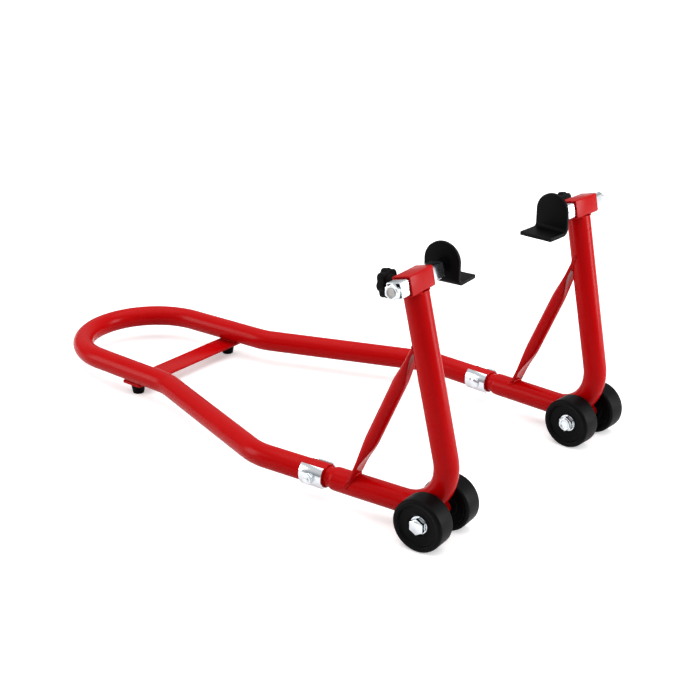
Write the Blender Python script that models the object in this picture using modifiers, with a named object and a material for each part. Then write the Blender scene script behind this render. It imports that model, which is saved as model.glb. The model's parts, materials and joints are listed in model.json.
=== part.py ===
"""Paddock stand that lifts a motorcycle's rear wheel by its swingarm.

A looped handle tube plugs onto two arm tubes. Each arm turns up at its elbow, over a pair of wheels,
and ends under a square socket. A slide tube in the socket sets the width and carries a swivelling
L-shaped paddle. Metres, +Z up, +Y towards the handle, wheels at -Y. The origin is on the floor, under
the middle of the stand.
"""

import math

import bmesh
import bpy
from mathutils import Matrix, Vector

# ---------------------------------------------------------------- driving dimensions

TUBE_RADIUS = 0.016
TUBE_WALL = 0.002
FRAME_HEIGHT = 0.0364  # axis of the lower tubes above the floor

ELBOW_HALF_WIDTH = 0.1804  # where the axes of arm and upright meet
ELBOW_AHEAD = 0.0272  # that point, in front of the axle
ELBOW_RADIUS = 0.061
ARM_TOE_OUT = math.radians(3.68)
UPRIGHT_LEAN = math.radians(11.97)
UPRIGHT_SPLAY = math.radians(1.83)

ARM_REACH = 0.1896  # from the elbow's corner to the handle tube's mouth
NECK_GAP = 0.008  # bare neck between the arm's shoulder and the mouth
SHOULDER_LENGTH = 0.007
SPIGOT_DEPTH = 0.048

HANDLE_OUTER_BEND = 0.2786  # from the axle to the outer bend's corner
HANDLE_INNER_HALF_WIDTH = 0.1094
HANDLE_INNER_BEND = 0.5338
HANDLE_LOOP_RADIUS = 0.1042
HANDLE_REACH = 0.785  # from the axle to the far side of the loop, on the tube's axis
HANDLE_BEND_RADIUS = 0.09

CLAMP_LENGTH = 0.035
CLAMP_THICKNESS = 0.0025
CLAMP_HALF_ANGLE = math.radians(54)
CLAMP_BOLT_RADIUS = 0.004
CLAMP_HEAD_RADIUS = 0.0083
CLAMP_HEAD_HEIGHT = 0.0042
CLAMP_NUT_ACROSS = 0.013
CLAMP_NUT_HEIGHT = 0.0065
CLAMP_BOLT_TIP = 0.002  # past the nut
CLAMP_BOLT_CHAMFER = 0.0008
CLAMP_HEAD_RIM = 0.001  # straight side under the domed head

BRACE_RADIUS = 0.0095
BRACE_WALL = 0.0015
BRACE_FLAT = 0.0046  # thickness of the pressed ends
BRACE_FLAT_LENGTH = 0.016
BRACE_TAPER_LENGTH = 0.052
BRACE_FOOT_REACH = 0.1532  # from the elbow's corner along the arm
BRACE_TOP_REACH = 0.2368  # from the elbow's corner along the upright
BRACE_SKEW = 0.003  # its foot outboard of the arm's axis, and its top inboard of the upright's

STRAP_OVERHANG = 0.00817  # past the axes of the handle's tubes
STRAP_WIDTH = 0.036
STRAP_THICKNESS = 0.004
STRAP_POSITION = 0.6065  # from the axle
FOOT_INSET = 0.015  # from the strap's ends
FOOT_TOP_RADIUS = 0.011
FOOT_BASE_RADIUS = 0.0085
FOOT_SCREW_RADIUS = 0.0022
FOOT_SCREW_HEAD_RADIUS = 0.0042
FOOT_SCREW_HEAD_HEIGHT = 0.0026
FOOT_SCREW_RECESS = 0.007

WHEEL_RADIUS = 0.035
WHEEL_WIDTH = 0.0305
WHEEL_EDGE_RADIUS = 0.004
WHEEL_RIM_WIDTH = 0.0075
WHEEL_WEB_DEPTH = 0.0042
WHEEL_HUB_DEPTH = 0.008  # hub's end face, below the wheel's side
WHEEL_PAIR_OFFSET = 0.0017  # the middle of a pair, outboard of the elbow's corner
AXLE_RADIUS = 0.006
AXLE_HEAD_ACROSS = 0.019
AXLE_HEAD_HEIGHT = 0.0071
AXLE_NUT_HEIGHT = 0.0078
AXLE_NUT_HEX_HEIGHT = 0.0062
AXLE_NUT_COLLAR_WALL = 0.0025
AXLE_TIP = 0.0012  # the axle's end, inside the nut's collar
AXLE_SLEEVE_WALL = 0.0042
AXLE_SLEEVE_OVERHANG = 0.001  # past the elbow's tube, each side
WASHER_THICKNESS = 0.0016
WASHER_RIM = 0.00103  # past the corners of the axle's head

SLIDE_AXIS_HEIGHT = 0.3312
SOCKET_WALL = 0.002
SOCKET_LENGTH = 0.0498
SOCKET_OFFSET = 0.0024  # outboard of the upright's axis
SOCKET_AHEAD = 0.0015  # in front of the upright's axis
SLIDE_SIZE = 0.020
SLIDE_WALL = 0.0015
SLIDE_LENGTH = 0.084
SLIDE_OUTBOARD = 0.0172  # beyond the socket's outer end
CORNER_RADIUS = 0.0024
BUSH_LENGTH = 0.012
BUSH_RECESS = 0.0012
SHAFT_RADIUS = 0.006
SHAFT_TIP = 0.0007
SHAFT_NUT_ACROSS = 0.018
SHAFT_NUT_HEX_HEIGHT = 0.0062
SHAFT_NUT_HEIGHT = 0.0072
SHAFT_NUT_COLLAR_WALL = 0.0024
NUT_CHAMFER = 0.0012  # round the lock nuts' collars
COLLAR_WALL = 0.0037
COLLAR_LENGTH = 0.010

PADDLE_WIDTH = 0.049
PADDLE_DEPTH = 0.041
PADDLE_ABOVE_AXIS = 0.0316
PADDLE_BELOW_AXIS = 0.0218
PADDLE_BEND_RADIUS = 0.010  # outer side of the L's bend
PADDLE_COVER = 0.0012  # thickness of the cover over the steel
PADDLE_STEEL = 0.003
PADDLE_BOSS_WALL = 0.0032
PADDLE_BOSS_LENGTH = 0.009

KNOB_RADIUS = 0.0184
KNOB_LOBES = 8
KNOB_LOBE_DEPTH = 0.0022
KNOB_THICKNESS = 0.010
KNOB_STROKE = 0.0014  # from the welded nut to the knob's hub
KNOB_HUB_RADIUS = 0.0085
KNOB_HUB_LENGTH = 0.0045
KNOB_OFFSET = 0.008  # outboard of the socket's middle
STUD_RADIUS = 0.004
STUD_IN_KNOB = 0.0075
WELD_NUT_ACROSS = 0.013
WELD_NUT_HEIGHT = 0.0077

# ---------------------------------------------------------------- clearances

TOUCH_GAP = 0.0003  # between pieces that touch
SPIGOT_CLEARANCE = 0.0004
BOLT_CLEARANCE = 0.0003
SLIDE_CLEARANCE = 0.0003
SOCKET_PLAY = 0.0005  # between the slide and the socket, each side
WHEEL_PLAY = 0.0004  # between the axle and a wheel's bore
PIT_PLAY = 0.0005  # round the washer in a wheel's hub
CUT_PAST = 0.002  # how far cutters run past what they cut, and joined solids into each other

# ---------------------------------------------------------------- derived places

NECK_RADIUS = TUBE_RADIUS - TUBE_WALL - SPIGOT_CLEARANCE
AXLE_BORE_RADIUS = AXLE_RADIUS + BOLT_CLEARANCE
AXLE_NUT_COLLAR_RADIUS = AXLE_BORE_RADIUS + AXLE_NUT_COLLAR_WALL
AXLE_SLEEVE_RADIUS = AXLE_BORE_RADIUS + AXLE_SLEEVE_WALL
AXLE_SLEEVE_LENGTH = 2 * (TUBE_RADIUS + AXLE_SLEEVE_OVERHANG)
WASHER_RADIUS = AXLE_HEAD_ACROSS / math.sqrt(3) + WASHER_RIM
WHEEL_HUB_RADIUS = WASHER_RADIUS + PIT_PLAY
WHEEL_BORE_RADIUS = AXLE_RADIUS + WHEEL_PLAY
WHEEL_RIM_RADIUS = WHEEL_RADIUS - WHEEL_RIM_WIDTH
SHAFT_BORE_RADIUS = SHAFT_RADIUS + BOLT_CLEARANCE
SHAFT_NUT_COLLAR_RADIUS = SHAFT_BORE_RADIUS + SHAFT_NUT_COLLAR_WALL
COLLAR_RADIUS = SHAFT_BORE_RADIUS + COLLAR_WALL
PADDLE_BOSS_RADIUS = SHAFT_BORE_RADIUS + PADDLE_BOSS_WALL
SOCKET_SIZE = SLIDE_SIZE + 2 * (SOCKET_PLAY + SOCKET_WALL)
WELD_NUT_SEAT = SOCKET_SIZE / 2 + TOUCH_GAP
KNOB_STANDOFF = WELD_NUT_SEAT + WELD_NUT_HEIGHT + KNOB_STROKE + KNOB_HUB_LENGTH  # from the slide's axis
WHEEL_INNER_FACE = AXLE_SLEEVE_LENGTH / 2 + TOUCH_GAP  # distances from the middle of a pair
WHEEL_OUTER_FACE = WHEEL_INNER_FACE + WHEEL_WIDTH
WHEEL_SWING = (WHEEL_OUTER_FACE - WHEEL_EDGE_RADIUS) * math.sin(ARM_TOE_OUT)
WHEEL_REACH = WHEEL_RADIUS * math.cos(ARM_TOE_OUT) + WHEEL_SWING  # ahead of the axle's middle
AXLE_Y = (WHEEL_REACH - HANDLE_REACH - TUBE_RADIUS) / 2
SIDES = (("left", -1), ("right", 1))
ARM_DIRECTION = Vector((math.sin(ARM_TOE_OUT), math.cos(ARM_TOE_OUT), 0))
UPRIGHT_DIRECTION = Vector((math.tan(UPRIGHT_SPLAY), math.tan(UPRIGHT_LEAN), 1)).normalized()
ELBOW_CORNER = Vector((ELBOW_HALF_WIDTH, AXLE_Y - ELBOW_AHEAD, FRAME_HEIGHT))
MOUTH = ELBOW_CORNER + ARM_DIRECTION * ARM_REACH
CLAMP_CENTRE = MOUTH + ARM_DIRECTION * CLAMP_LENGTH / 2
SLIDE_RISE = (SLIDE_AXIS_HEIGHT - FRAME_HEIGHT) / UPRIGHT_DIRECTION.z
HEAD_CENTRE = ELBOW_CORNER + UPRIGHT_DIRECTION * SLIDE_RISE
SLIDE_OUTER_END = SOCKET_LENGTH / 2 + SLIDE_OUTBOARD  # distances outboard of the socket's middle
SLIDE_INNER_END = SLIDE_OUTER_END - SLIDE_LENGTH
PADDLE_FACE = SLIDE_INNER_END - 2 * TOUCH_GAP - COLLAR_LENGTH - PADDLE_BOSS_LENGTH
PADDLE_THICKNESS = PADDLE_STEEL + 2 * PADDLE_COVER
SEGMENTS = 18

# ---------------------------------------------------------------- scene, collections and materials

for old in list(bpy.data.objects):
    bpy.data.objects.remove(old, do_unlink=True)

parts = bpy.data.collections.new("paddock_stand")
cutters = bpy.data.collections.new("cutters")
for collection in (parts, cutters):
    bpy.context.scene.collection.children.link(collection)
cutters.hide_render = True


def material(name, colour, roughness, metallic=0.0):
    """A plain Principled material."""
    made = bpy.data.materials.new(name)
    made.use_nodes = True
    shader = made.node_tree.nodes["Principled BSDF"]
    shader.inputs["Base Color"].default_value = (*colour, 1)
    shader.inputs["Roughness"].default_value = roughness
    shader.inputs["Metallic"].default_value = metallic
    return made


RED_PAINT = material("red_paint", (0.55, 0.01, 0.015), 0.3)
ZINC = material("zinc_plate", (0.75, 0.78, 0.82), 0.3, 1.0)
STEEL = material("bare_steel", (0.5, 0.5, 0.5), 0.4, 1.0)
BLACK_RUBBER = material("black_rubber", (0.02, 0.02, 0.022), 0.6)
BLACK_PLASTIC = material("black_plastic", (0.015, 0.015, 0.017), 0.4)

# ---------------------------------------------------------------- modelling tools


def add(name, data, finish, collection=parts):
    """An object for some mesh or curve data, in a collection."""
    made = bpy.data.objects.new(name, data)
    collection.objects.link(made)
    if finish:
        data.materials.append(finish)
    return made


def frame_of(origin, z_axis, x_hint):
    """A placing matrix: local Z along z_axis, local X as near x_hint as it can be."""
    z = Vector(z_axis).normalized()
    x = Vector(x_hint)
    x = (x - z * x.dot(z)).normalized()
    return Matrix.Translation(origin) @ Matrix((x, z.cross(x), z)).transposed().to_4x4()


def as_mesh(obj, finish=None):
    """Replaces an object by its evaluated mesh, with coincident points welded."""
    bpy.context.view_layer.update()
    name, matrix, home = obj.name, obj.matrix_world.copy(), obj.users_collection[0]
    mesh = bpy.data.meshes.new_from_object(obj.evaluated_get(bpy.context.evaluated_depsgraph_get()))
    bm = bmesh.new()
    bm.from_mesh(mesh)
    bmesh.ops.remove_doubles(bm, verts=bm.verts, dist=1e-6)
    bm.to_mesh(mesh)
    bm.free()
    finish = finish or (mesh.materials[0] if mesh.materials else None)
    mesh.materials.clear()
    bpy.data.objects.remove(obj, do_unlink=True)
    made = add(name, mesh, finish, home)
    made.matrix_world = matrix
    return made


def bent_path(corners, bend_radii, step=math.radians(11)):
    """The corners joined by straight lines, each inner corner rounded to its radius."""
    path = [Vector(corners[0])]
    for before, corner, after, radius in zip(corners, corners[1:], corners[2:], bend_radii):
        start = (before - corner).normalized()
        end = (after - corner).normalized()
        half = start.angle(end) / 2
        centre = corner + (start + end).normalized() * radius / math.sin(half)
        first = corner + start * radius / math.tan(half) - centre
        last = corner + end * radius / math.tan(half) - centre
        turn = first.angle(last)
        count = max(2, round(turn / step))
        for i in range(count + 1):
            path.append(centre + first.slerp(last, i / count).normalized() * radius)
    return [*path, Vector(corners[-1])]


def tube(name, path, radius, finish, wall=0.0, radii=None, collection=parts):
    """A round tube along a path of points. Solid if it has no wall; radii scales its points."""
    curve = bpy.data.curves.new(name, "CURVE")
    curve.dimensions = "3D"
    curve.bevel_depth = radius
    curve.bevel_resolution = 5
    curve.use_fill_caps = not wall
    spline = curve.splines.new("POLY")
    spline.points.add(len(path) - 1)
    for i, (point, place) in enumerate(zip(spline.points, path)):
        point.co = (*place, 1)
        point.radius = radii[i] / radius if radii else 1
    made = add(name, curve, finish, collection)
    if wall:
        shell = made.modifiers.new("wall", "SOLIDIFY")
        shell.thickness = wall
        shell.offset = -1
    return as_mesh(made, finish)


def circle_points(radius, count=SEGMENTS, phase=0.0):
    angles = [phase + 2 * math.pi * i / count for i in range(count)]
    return [(radius * math.cos(a), radius * math.sin(a)) for a in angles]


def hexagon(across_flats):
    return circle_points(across_flats / math.sqrt(3), 6)


def rounded_rectangle(width, height, radius, steps=3):
    """Outline centred on the origin, counter-clockwise."""
    points = []
    for quarter, (sx, sy) in enumerate(((1, 1), (-1, 1), (-1, -1), (1, -1))):
        for i in range(steps + 1):
            a = math.pi / 2 * (quarter + i / steps)
            x = sx * (width / 2 - radius) + radius * math.cos(a)
            y = sy * (height / 2 - radius) + radius * math.sin(a)
            points.append((x, y))
    return points


def plate(name, outlines, thickness, matrix, finish, collection=parts):
    """Flat outlines, the first outside and the others holes, made thick about their own plane."""
    curve = bpy.data.curves.new(name, "CURVE")
    curve.dimensions = "2D"
    curve.fill_mode = "BOTH"
    curve.extrude = thickness / 2
    for outline in outlines:
        spline = curve.splines.new("POLY")
        spline.points.add(len(outline) - 1)
        spline.use_cyclic_u = True
        for point, place in zip(spline.points, outline):
            point.co = (*place, 0, 1)
    made = add(name, curve, finish, collection)
    made.matrix_world = matrix
    return as_mesh(made, finish)


def turned(name, profile, matrix, finish, steps=SEGMENTS, collection=parts, closed=False):
    """A profile of (radius, height) points, run down its outer side, turned about local Z."""
    bm = bmesh.new()
    points = [bm.verts.new((r, 0, z)) for r, z in profile]
    for a, b in zip(points, points[1:] + points[:1] if closed else points[1:]):
        bm.edges.new((a, b))
    mesh = bpy.data.meshes.new(name)
    bm.to_mesh(mesh)
    bm.free()
    made = add(name, mesh, finish, collection)
    made.matrix_world = matrix
    screw = made.modifiers.new("turn", "SCREW")
    screw.steps = steps
    screw.render_steps = steps
    screw.use_merge_vertices = True
    screw.merge_threshold = 1e-5
    return made


def washer(name, outer, inner, thickness, matrix, finish):
    """A ring whose lower face lies on the plane of its matrix."""
    profile = [(outer, thickness), (outer, 0), (inner, 0), (inner, thickness)]
    return turned(name, profile, matrix, finish, closed=True)


def rod(name, radius, start, end, finish=None, collection=cutters, steps=SEGMENTS):
    """A solid cylinder between two points. Without a finish it is a cutter."""
    axis = Vector(end) - Vector(start)
    hint = (0, 0, 1) if abs(axis.normalized().z) < 0.9 else (1, 0, 0)
    matrix = frame_of(start, axis, hint)
    profile = [(0, axis.length), (radius, axis.length), (radius, 0), (0, 0)]
    return turned(name, profile, matrix, finish, steps, collection)


def combine(obj, other, operation):
    """A Boolean on obj. A cutter stays as a helper; a joined piece is used up."""
    modifier = obj.modifiers.new(other.name, "BOOLEAN")
    modifier.operation = operation
    modifier.solver = "EXACT"
    modifier.object = other
    if operation == "UNION":
        joined = as_mesh(obj)
        bpy.data.objects.remove(other, do_unlink=True)
        return joined
    other.hide_render = True
    other.display_type = "WIRE"
    return obj


def hold(obj, parent):
    """Parents obj without moving it."""
    obj.parent = parent
    obj.matrix_parent_inverse = parent.matrix_world.inverted()


def joint_axis(name, origin, direction):
    """An empty on a joint's axis, its local Z along it."""
    made = bpy.data.objects.new(name, None)
    parts.objects.link(made)
    made.empty_display_size = 0.02
    hint = (0, 0, 1) if abs(Vector(direction).normalized().z) < 0.9 else (1, 0, 0)
    made.matrix_world = frame_of(origin, direction, hint)
    return made


def mirrored(point, side):
    """A point or direction worked out for the right side, on the side asked for."""
    return Vector((side * point[0], point[1], point[2]))


def arm_frame(side):
    """Directions of one side's welded arm: along the arm, and outboard, level and square to it."""
    return mirrored(ARM_DIRECTION, side), mirrored((ARM_DIRECTION.y, -ARM_DIRECTION.x, 0), side)


# ---------------------------------------------------------------- handle, strap and feet


def handle_corners():
    """The handle tube's axis for the right side, from the mouth to the start of the loop."""
    outer_y = AXLE_Y + HANDLE_OUTER_BEND
    along = (outer_y - MOUTH.y) / ARM_DIRECTION.y
    outer = MOUTH + ARM_DIRECTION * along
    inner = Vector((HANDLE_INNER_HALF_WIDTH, AXLE_Y + HANDLE_INNER_BEND, FRAME_HEIGHT))
    loop_y = AXLE_Y + HANDLE_REACH - HANDLE_LOOP_RADIUS
    loop_start = Vector((HANDLE_LOOP_RADIUS, loop_y, FRAME_HEIGHT))
    return [MOUTH, outer, inner, loop_start]


def build_handle():
    side = bent_path(handle_corners(), [HANDLE_BEND_RADIUS] * 2)
    loop_y = side[-1].y
    count = 18
    loop = []
    for i in range(1, count):
        a = math.pi * i / count
        x = HANDLE_LOOP_RADIUS * math.cos(a)
        loop.append(Vector((x, loop_y + HANDLE_LOOP_RADIUS * math.sin(a), FRAME_HEIGHT)))
    path = [*side, *loop, *[mirrored(p, -1) for p in reversed(side)]]
    handle = tube("handle_tube", path, TUBE_RADIUS, RED_PAINT, TUBE_WALL)
    for name, side in SIDES:
        cut_clamp_hole(handle, "handle", name, side)


def strap_bottom():
    return FRAME_HEIGHT - TUBE_RADIUS - TOUCH_GAP - STRAP_THICKNESS


def strap_end():
    """How far the strap reaches from the stand's middle, a little past the tubes that it joins."""
    _, _, inner, loop = handle_corners()
    share = (AXLE_Y + STRAP_POSITION - inner.y) / (loop.y - inner.y)
    return inner.lerp(loop, share).x + STRAP_OVERHANG


def foot_place(side):
    return Vector((side * (strap_end() - FOOT_INSET), AXLE_Y + STRAP_POSITION, 0))


def build_strap():
    screw_holes = []
    for _, side in SIDES:
        place = foot_place(side)
        ring = circle_points(FOOT_SCREW_RADIUS + BOLT_CLEARANCE, 16)
        screw_holes.append([(x + place.x, y) for x, y in ring])
    outline = rounded_rectangle(2 * strap_end(), STRAP_WIDTH, 0.003)
    centre = (0, AXLE_Y + STRAP_POSITION, strap_bottom() + STRAP_THICKNESS / 2)
    plate("cross_strap", [outline, *screw_holes], STRAP_THICKNESS, Matrix.Translation(centre), RED_PAINT)


def build_feet():
    top = strap_bottom() - TOUCH_GAP
    bore = FOOT_SCREW_RADIUS + BOLT_CLEARANCE
    recess = FOOT_SCREW_HEAD_RADIUS + 2 * BOLT_CLEARANCE
    edge = 0.0015
    profile = [
        (bore, top),
        (FOOT_TOP_RADIUS, top),
        (FOOT_BASE_RADIUS + edge * 0.15, edge),
        (FOOT_BASE_RADIUS - edge * 0.6, edge * 0.25),
        (FOOT_BASE_RADIUS - edge, 0),
        (recess, 0),
        (recess, FOOT_SCREW_RECESS),
        (bore, FOOT_SCREW_RECESS),
    ]
    head = FOOT_SCREW_HEAD_RADIUS
    head_top = FOOT_SCREW_RECESS - TOUCH_GAP
    head_bottom = head_top - FOOT_SCREW_HEAD_HEIGHT
    screw_tip = strap_bottom() + STRAP_THICKNESS - TOUCH_GAP
    screw_profile = [
        (0, screw_tip),
        (FOOT_SCREW_RADIUS * 0.8, screw_tip),
        (FOOT_SCREW_RADIUS, screw_tip - 0.0006),
        (FOOT_SCREW_RADIUS, head_top),
        (head, head_top),
        (head, head_bottom + 0.0008),
        (head * 0.75, head_bottom),
        (0, head_bottom),
    ]
    for name, side in SIDES:
        place = Matrix.Translation(foot_place(side))
        turned(f"foot_{name}", profile, place, BLACK_RUBBER, closed=True)
        turned(f"foot_screw_{name}", screw_profile, place, ZINC, 16)


# ---------------------------------------------------------------- arms, elbows and their wheels


def clamp_axis(side):
    """Centre of a clamp joint and the direction outboard, square to the arm."""
    return mirrored(CLAMP_CENTRE, side), arm_frame(side)[1]


def axle_axis(side):
    """The middle of a pair of wheels and the direction outboard along its axle."""
    middle = Vector((side * (ELBOW_HALF_WIDTH + WHEEL_PAIR_OFFSET), AXLE_Y, WHEEL_RADIUS))
    return middle, arm_frame(side)[1]


def cut_clamp_hole(obj, owner, name, side):
    centre, outboard = clamp_axis(side)
    reach = outboard * TUBE_RADIUS * 2
    radius = CLAMP_BOLT_RADIUS + BOLT_CLEARANCE
    cutter = rod(f"cut_{owner}_bolt_{name}", radius, centre - reach, centre + reach, steps=16)
    combine(obj, cutter, "DIFFERENCE")


def build_arm(name, side):
    """Spigot, neck, shoulder, arm, elbow and upright as one tube, cut off under the socket."""
    spigot_end = ELBOW_CORNER + ARM_DIRECTION * (ARM_REACH + SPIGOT_DEPTH)
    shoulder = ARM_REACH - NECK_GAP
    top = ELBOW_CORNER + UPRIGHT_DIRECTION * (SLIDE_RISE + SOCKET_SIZE)
    path = [spigot_end]
    radii = [NECK_RADIUS]
    steps = 4
    for i in range(steps + 1):
        a = math.pi / 2 * i / steps
        path.append(ELBOW_CORNER + ARM_DIRECTION * (shoulder - SHOULDER_LENGTH * (1 - math.cos(a))))
        radii.append(NECK_RADIUS + (TUBE_RADIUS - NECK_RADIUS) * math.sin(a))
    bend = bent_path([path[-1], ELBOW_CORNER, top], [ELBOW_RADIUS])
    path += bend[1:]
    radii += [TUBE_RADIUS] * (len(bend) - 1)
    points = [mirrored(p, side) for p in path]
    arm = tube(f"arm_tube_{name}", points, TUBE_RADIUS, RED_PAINT, TUBE_WALL, radii)
    cut_clamp_hole(arm, "arm", name, side)

    axle, outboard = axle_axis(side)
    reach = outboard * (AXLE_SLEEVE_LENGTH / 2 + CUT_PAST)
    notch = rod(f"cut_sleeve_{name}", AXLE_SLEEVE_RADIUS + TOUCH_GAP, axle - reach, axle + reach)
    combine(arm, notch, "DIFFERENCE")

    size = 3 * SOCKET_SIZE
    height = size / 2 - SOCKET_SIZE / 2 - TOUCH_GAP
    square = [(x * size / 2, y * size / 2) for x, y in ((-1, -1), (1, -1), (1, 1), (-1, 1))]
    centre, outboard, up = head_frame(side)
    matrix = frame_of(centre + up * height, outboard, up)
    combine(arm, plate(f"cut_socket_{name}", [square], size, matrix, None, cutters), "DIFFERENCE")


def build_clamp(name, side):
    """Two half-shell plates round the handle tube's mouth, the bolt through them and its nut."""
    centre, outboard = clamp_axis(side)
    along = mirrored(ARM_DIRECTION, side)
    inner = TUBE_RADIUS + TOUCH_GAP
    outer = inner + CLAMP_THICKNESS
    steps = 12
    angles = [CLAMP_HALF_ANGLE * (2 * i / steps - 1) for i in range(steps + 1)]
    outline = [(outer * math.cos(a), outer * math.sin(a)) for a in angles]
    outline += [(inner * math.cos(a), inner * math.sin(a)) for a in reversed(angles)]
    for face, direction in (("outer", outboard), ("inner", -outboard)):
        matrix = frame_of(centre, along, direction)
        shell = plate(f"clamp_plate_{face}_{name}", [outline], CLAMP_LENGTH, matrix, ZINC)
        cut_clamp_hole(shell, f"plate_{face}", name, side)

    seat = outer + TOUCH_GAP
    rise = CLAMP_HEAD_HEIGHT - CLAMP_HEAD_RIM
    tip = seat + CLAMP_NUT_HEIGHT + CLAMP_BOLT_TIP
    steps = 4
    profile = [(0, seat + CLAMP_HEAD_HEIGHT)]
    for i in range(1, steps + 1):
        a = math.pi / 2 * i / steps
        profile.append((CLAMP_HEAD_RADIUS * math.sin(a), seat + CLAMP_HEAD_RIM + rise * math.cos(a)))
    profile += [
        (CLAMP_HEAD_RADIUS, seat),
        (CLAMP_BOLT_RADIUS, seat),
        (CLAMP_BOLT_RADIUS, -tip + CLAMP_BOLT_CHAMFER),
        (CLAMP_BOLT_RADIUS - CLAMP_BOLT_CHAMFER, -tip),
        (0, -tip),
    ]
    turned(f"clamp_bolt_{name}", profile, frame_of(centre, -outboard, (0, 0, 1)), ZINC)
    hole = circle_points(CLAMP_BOLT_RADIUS + BOLT_CLEARANCE)
    nut_centre = centre + outboard * (seat + CLAMP_NUT_HEIGHT / 2)
    matrix = frame_of(nut_centre, outboard, (0, 0, 1))
    plate(f"clamp_nut_{name}", [hexagon(CLAMP_NUT_ACROSS), hole], CLAMP_NUT_HEIGHT, matrix, ZINC)


def stadium(round_share, count=16):
    """A section of the brace: round at 1, pressed flat at 0, with the same length round it."""
    half = BRACE_FLAT / 2 + (BRACE_RADIUS - BRACE_FLAT / 2) * round_share
    straight = math.pi * (BRACE_RADIUS - half) / 2
    arc = math.pi * half
    total = 2 * arc + 4 * straight
    points = []
    for i in range(count):
        s = (i + 0.5) / count * total
        sign = 1
        if s > total / 2:
            s -= total / 2
            sign = -1
        if s < arc:
            a = s / half - math.pi / 2
            x, y = straight + half * math.cos(a), half * math.sin(a)
        else:
            x, y = straight - (s - arc), half
        points.append((sign * x, sign * y))
    return points


def build_brace(name, side):
    """A round tube with both ends pressed flat across the stand, trimmed to the arm and upright."""
    _, outboard = arm_frame(side)
    foot = mirrored(ELBOW_CORNER + ARM_DIRECTION * BRACE_FOOT_REACH, side) + outboard * BRACE_SKEW
    top = mirrored(ELBOW_CORNER + UPRIGHT_DIRECTION * BRACE_TOP_REACH, side) - outboard * BRACE_SKEW
    axis = top - foot
    length = axis.length
    matrix = frame_of(foot, axis, outboard)
    steps = 4
    stations = [(0, 0)]
    bury = TUBE_RADIUS
    for i in range(steps + 1):
        share = i / steps
        eased = share * share * (3 - 2 * share)
        stations.append((bury + BRACE_FLAT_LENGTH + BRACE_TAPER_LENGTH * share, eased))
    stations += [(length - z, share) for z, share in reversed(stations)]
    bm = bmesh.new()
    rings = [[bm.verts.new((x, y, z)) for x, y in stadium(share)] for z, share in stations]
    for lower, upper in zip(rings, rings[1:]):
        for i in range(len(lower)):
            j = (i + 1) % len(lower)
            bm.faces.new((lower[i], lower[j], upper[j], upper[i]))
    mesh = bpy.data.meshes.new(f"brace_{name}")
    bm.to_mesh(mesh)
    bm.free()
    brace = add(f"brace_{name}", mesh, RED_PAINT)
    brace.matrix_world = matrix
    shell = brace.modifiers.new("wall", "SOLIDIFY")
    shell.thickness = BRACE_WALL
    shell.offset = -1
    brace = as_mesh(brace, RED_PAINT)
    seats = (("arm", ARM_DIRECTION, BRACE_FOOT_REACH), ("upright", UPRIGHT_DIRECTION, BRACE_TOP_REACH))
    for part, direction, reach in seats:
        middle = ELBOW_CORNER + direction * reach
        ends = [mirrored(middle + direction * d, side) for d in (-0.05, 0.05)]
        cutter = rod(f"cut_brace_{part}_{name}", TUBE_RADIUS + TOUCH_GAP, *ends, steps=32)
        combine(brace, cutter, "DIFFERENCE")


def wheel_profile():
    """One-piece wheel: rounded tread, recessed web and a hub with the bore, symmetric in Z."""
    half = WHEEL_WIDTH / 2
    steps = 3
    upper = []
    for i in range(steps + 1):
        a = math.pi / 2 * i / steps
        r = WHEEL_RADIUS - WHEEL_EDGE_RADIUS * (1 - math.sin(a))
        upper.append((r, half - WHEEL_EDGE_RADIUS * (1 - math.cos(a))))
    web = half - WHEEL_WEB_DEPTH
    side = [
        (WHEEL_BORE_RADIUS, half - WHEEL_HUB_DEPTH),
        (WHEEL_HUB_RADIUS, half - WHEEL_HUB_DEPTH),
        (WHEEL_HUB_RADIUS + 0.001, web),
        (WHEEL_RIM_RADIUS - 0.001, web),
        (WHEEL_RIM_RADIUS, half),
    ]
    down = side + upper
    return down + [(r, -z) for r, z in reversed(down)]


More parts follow.
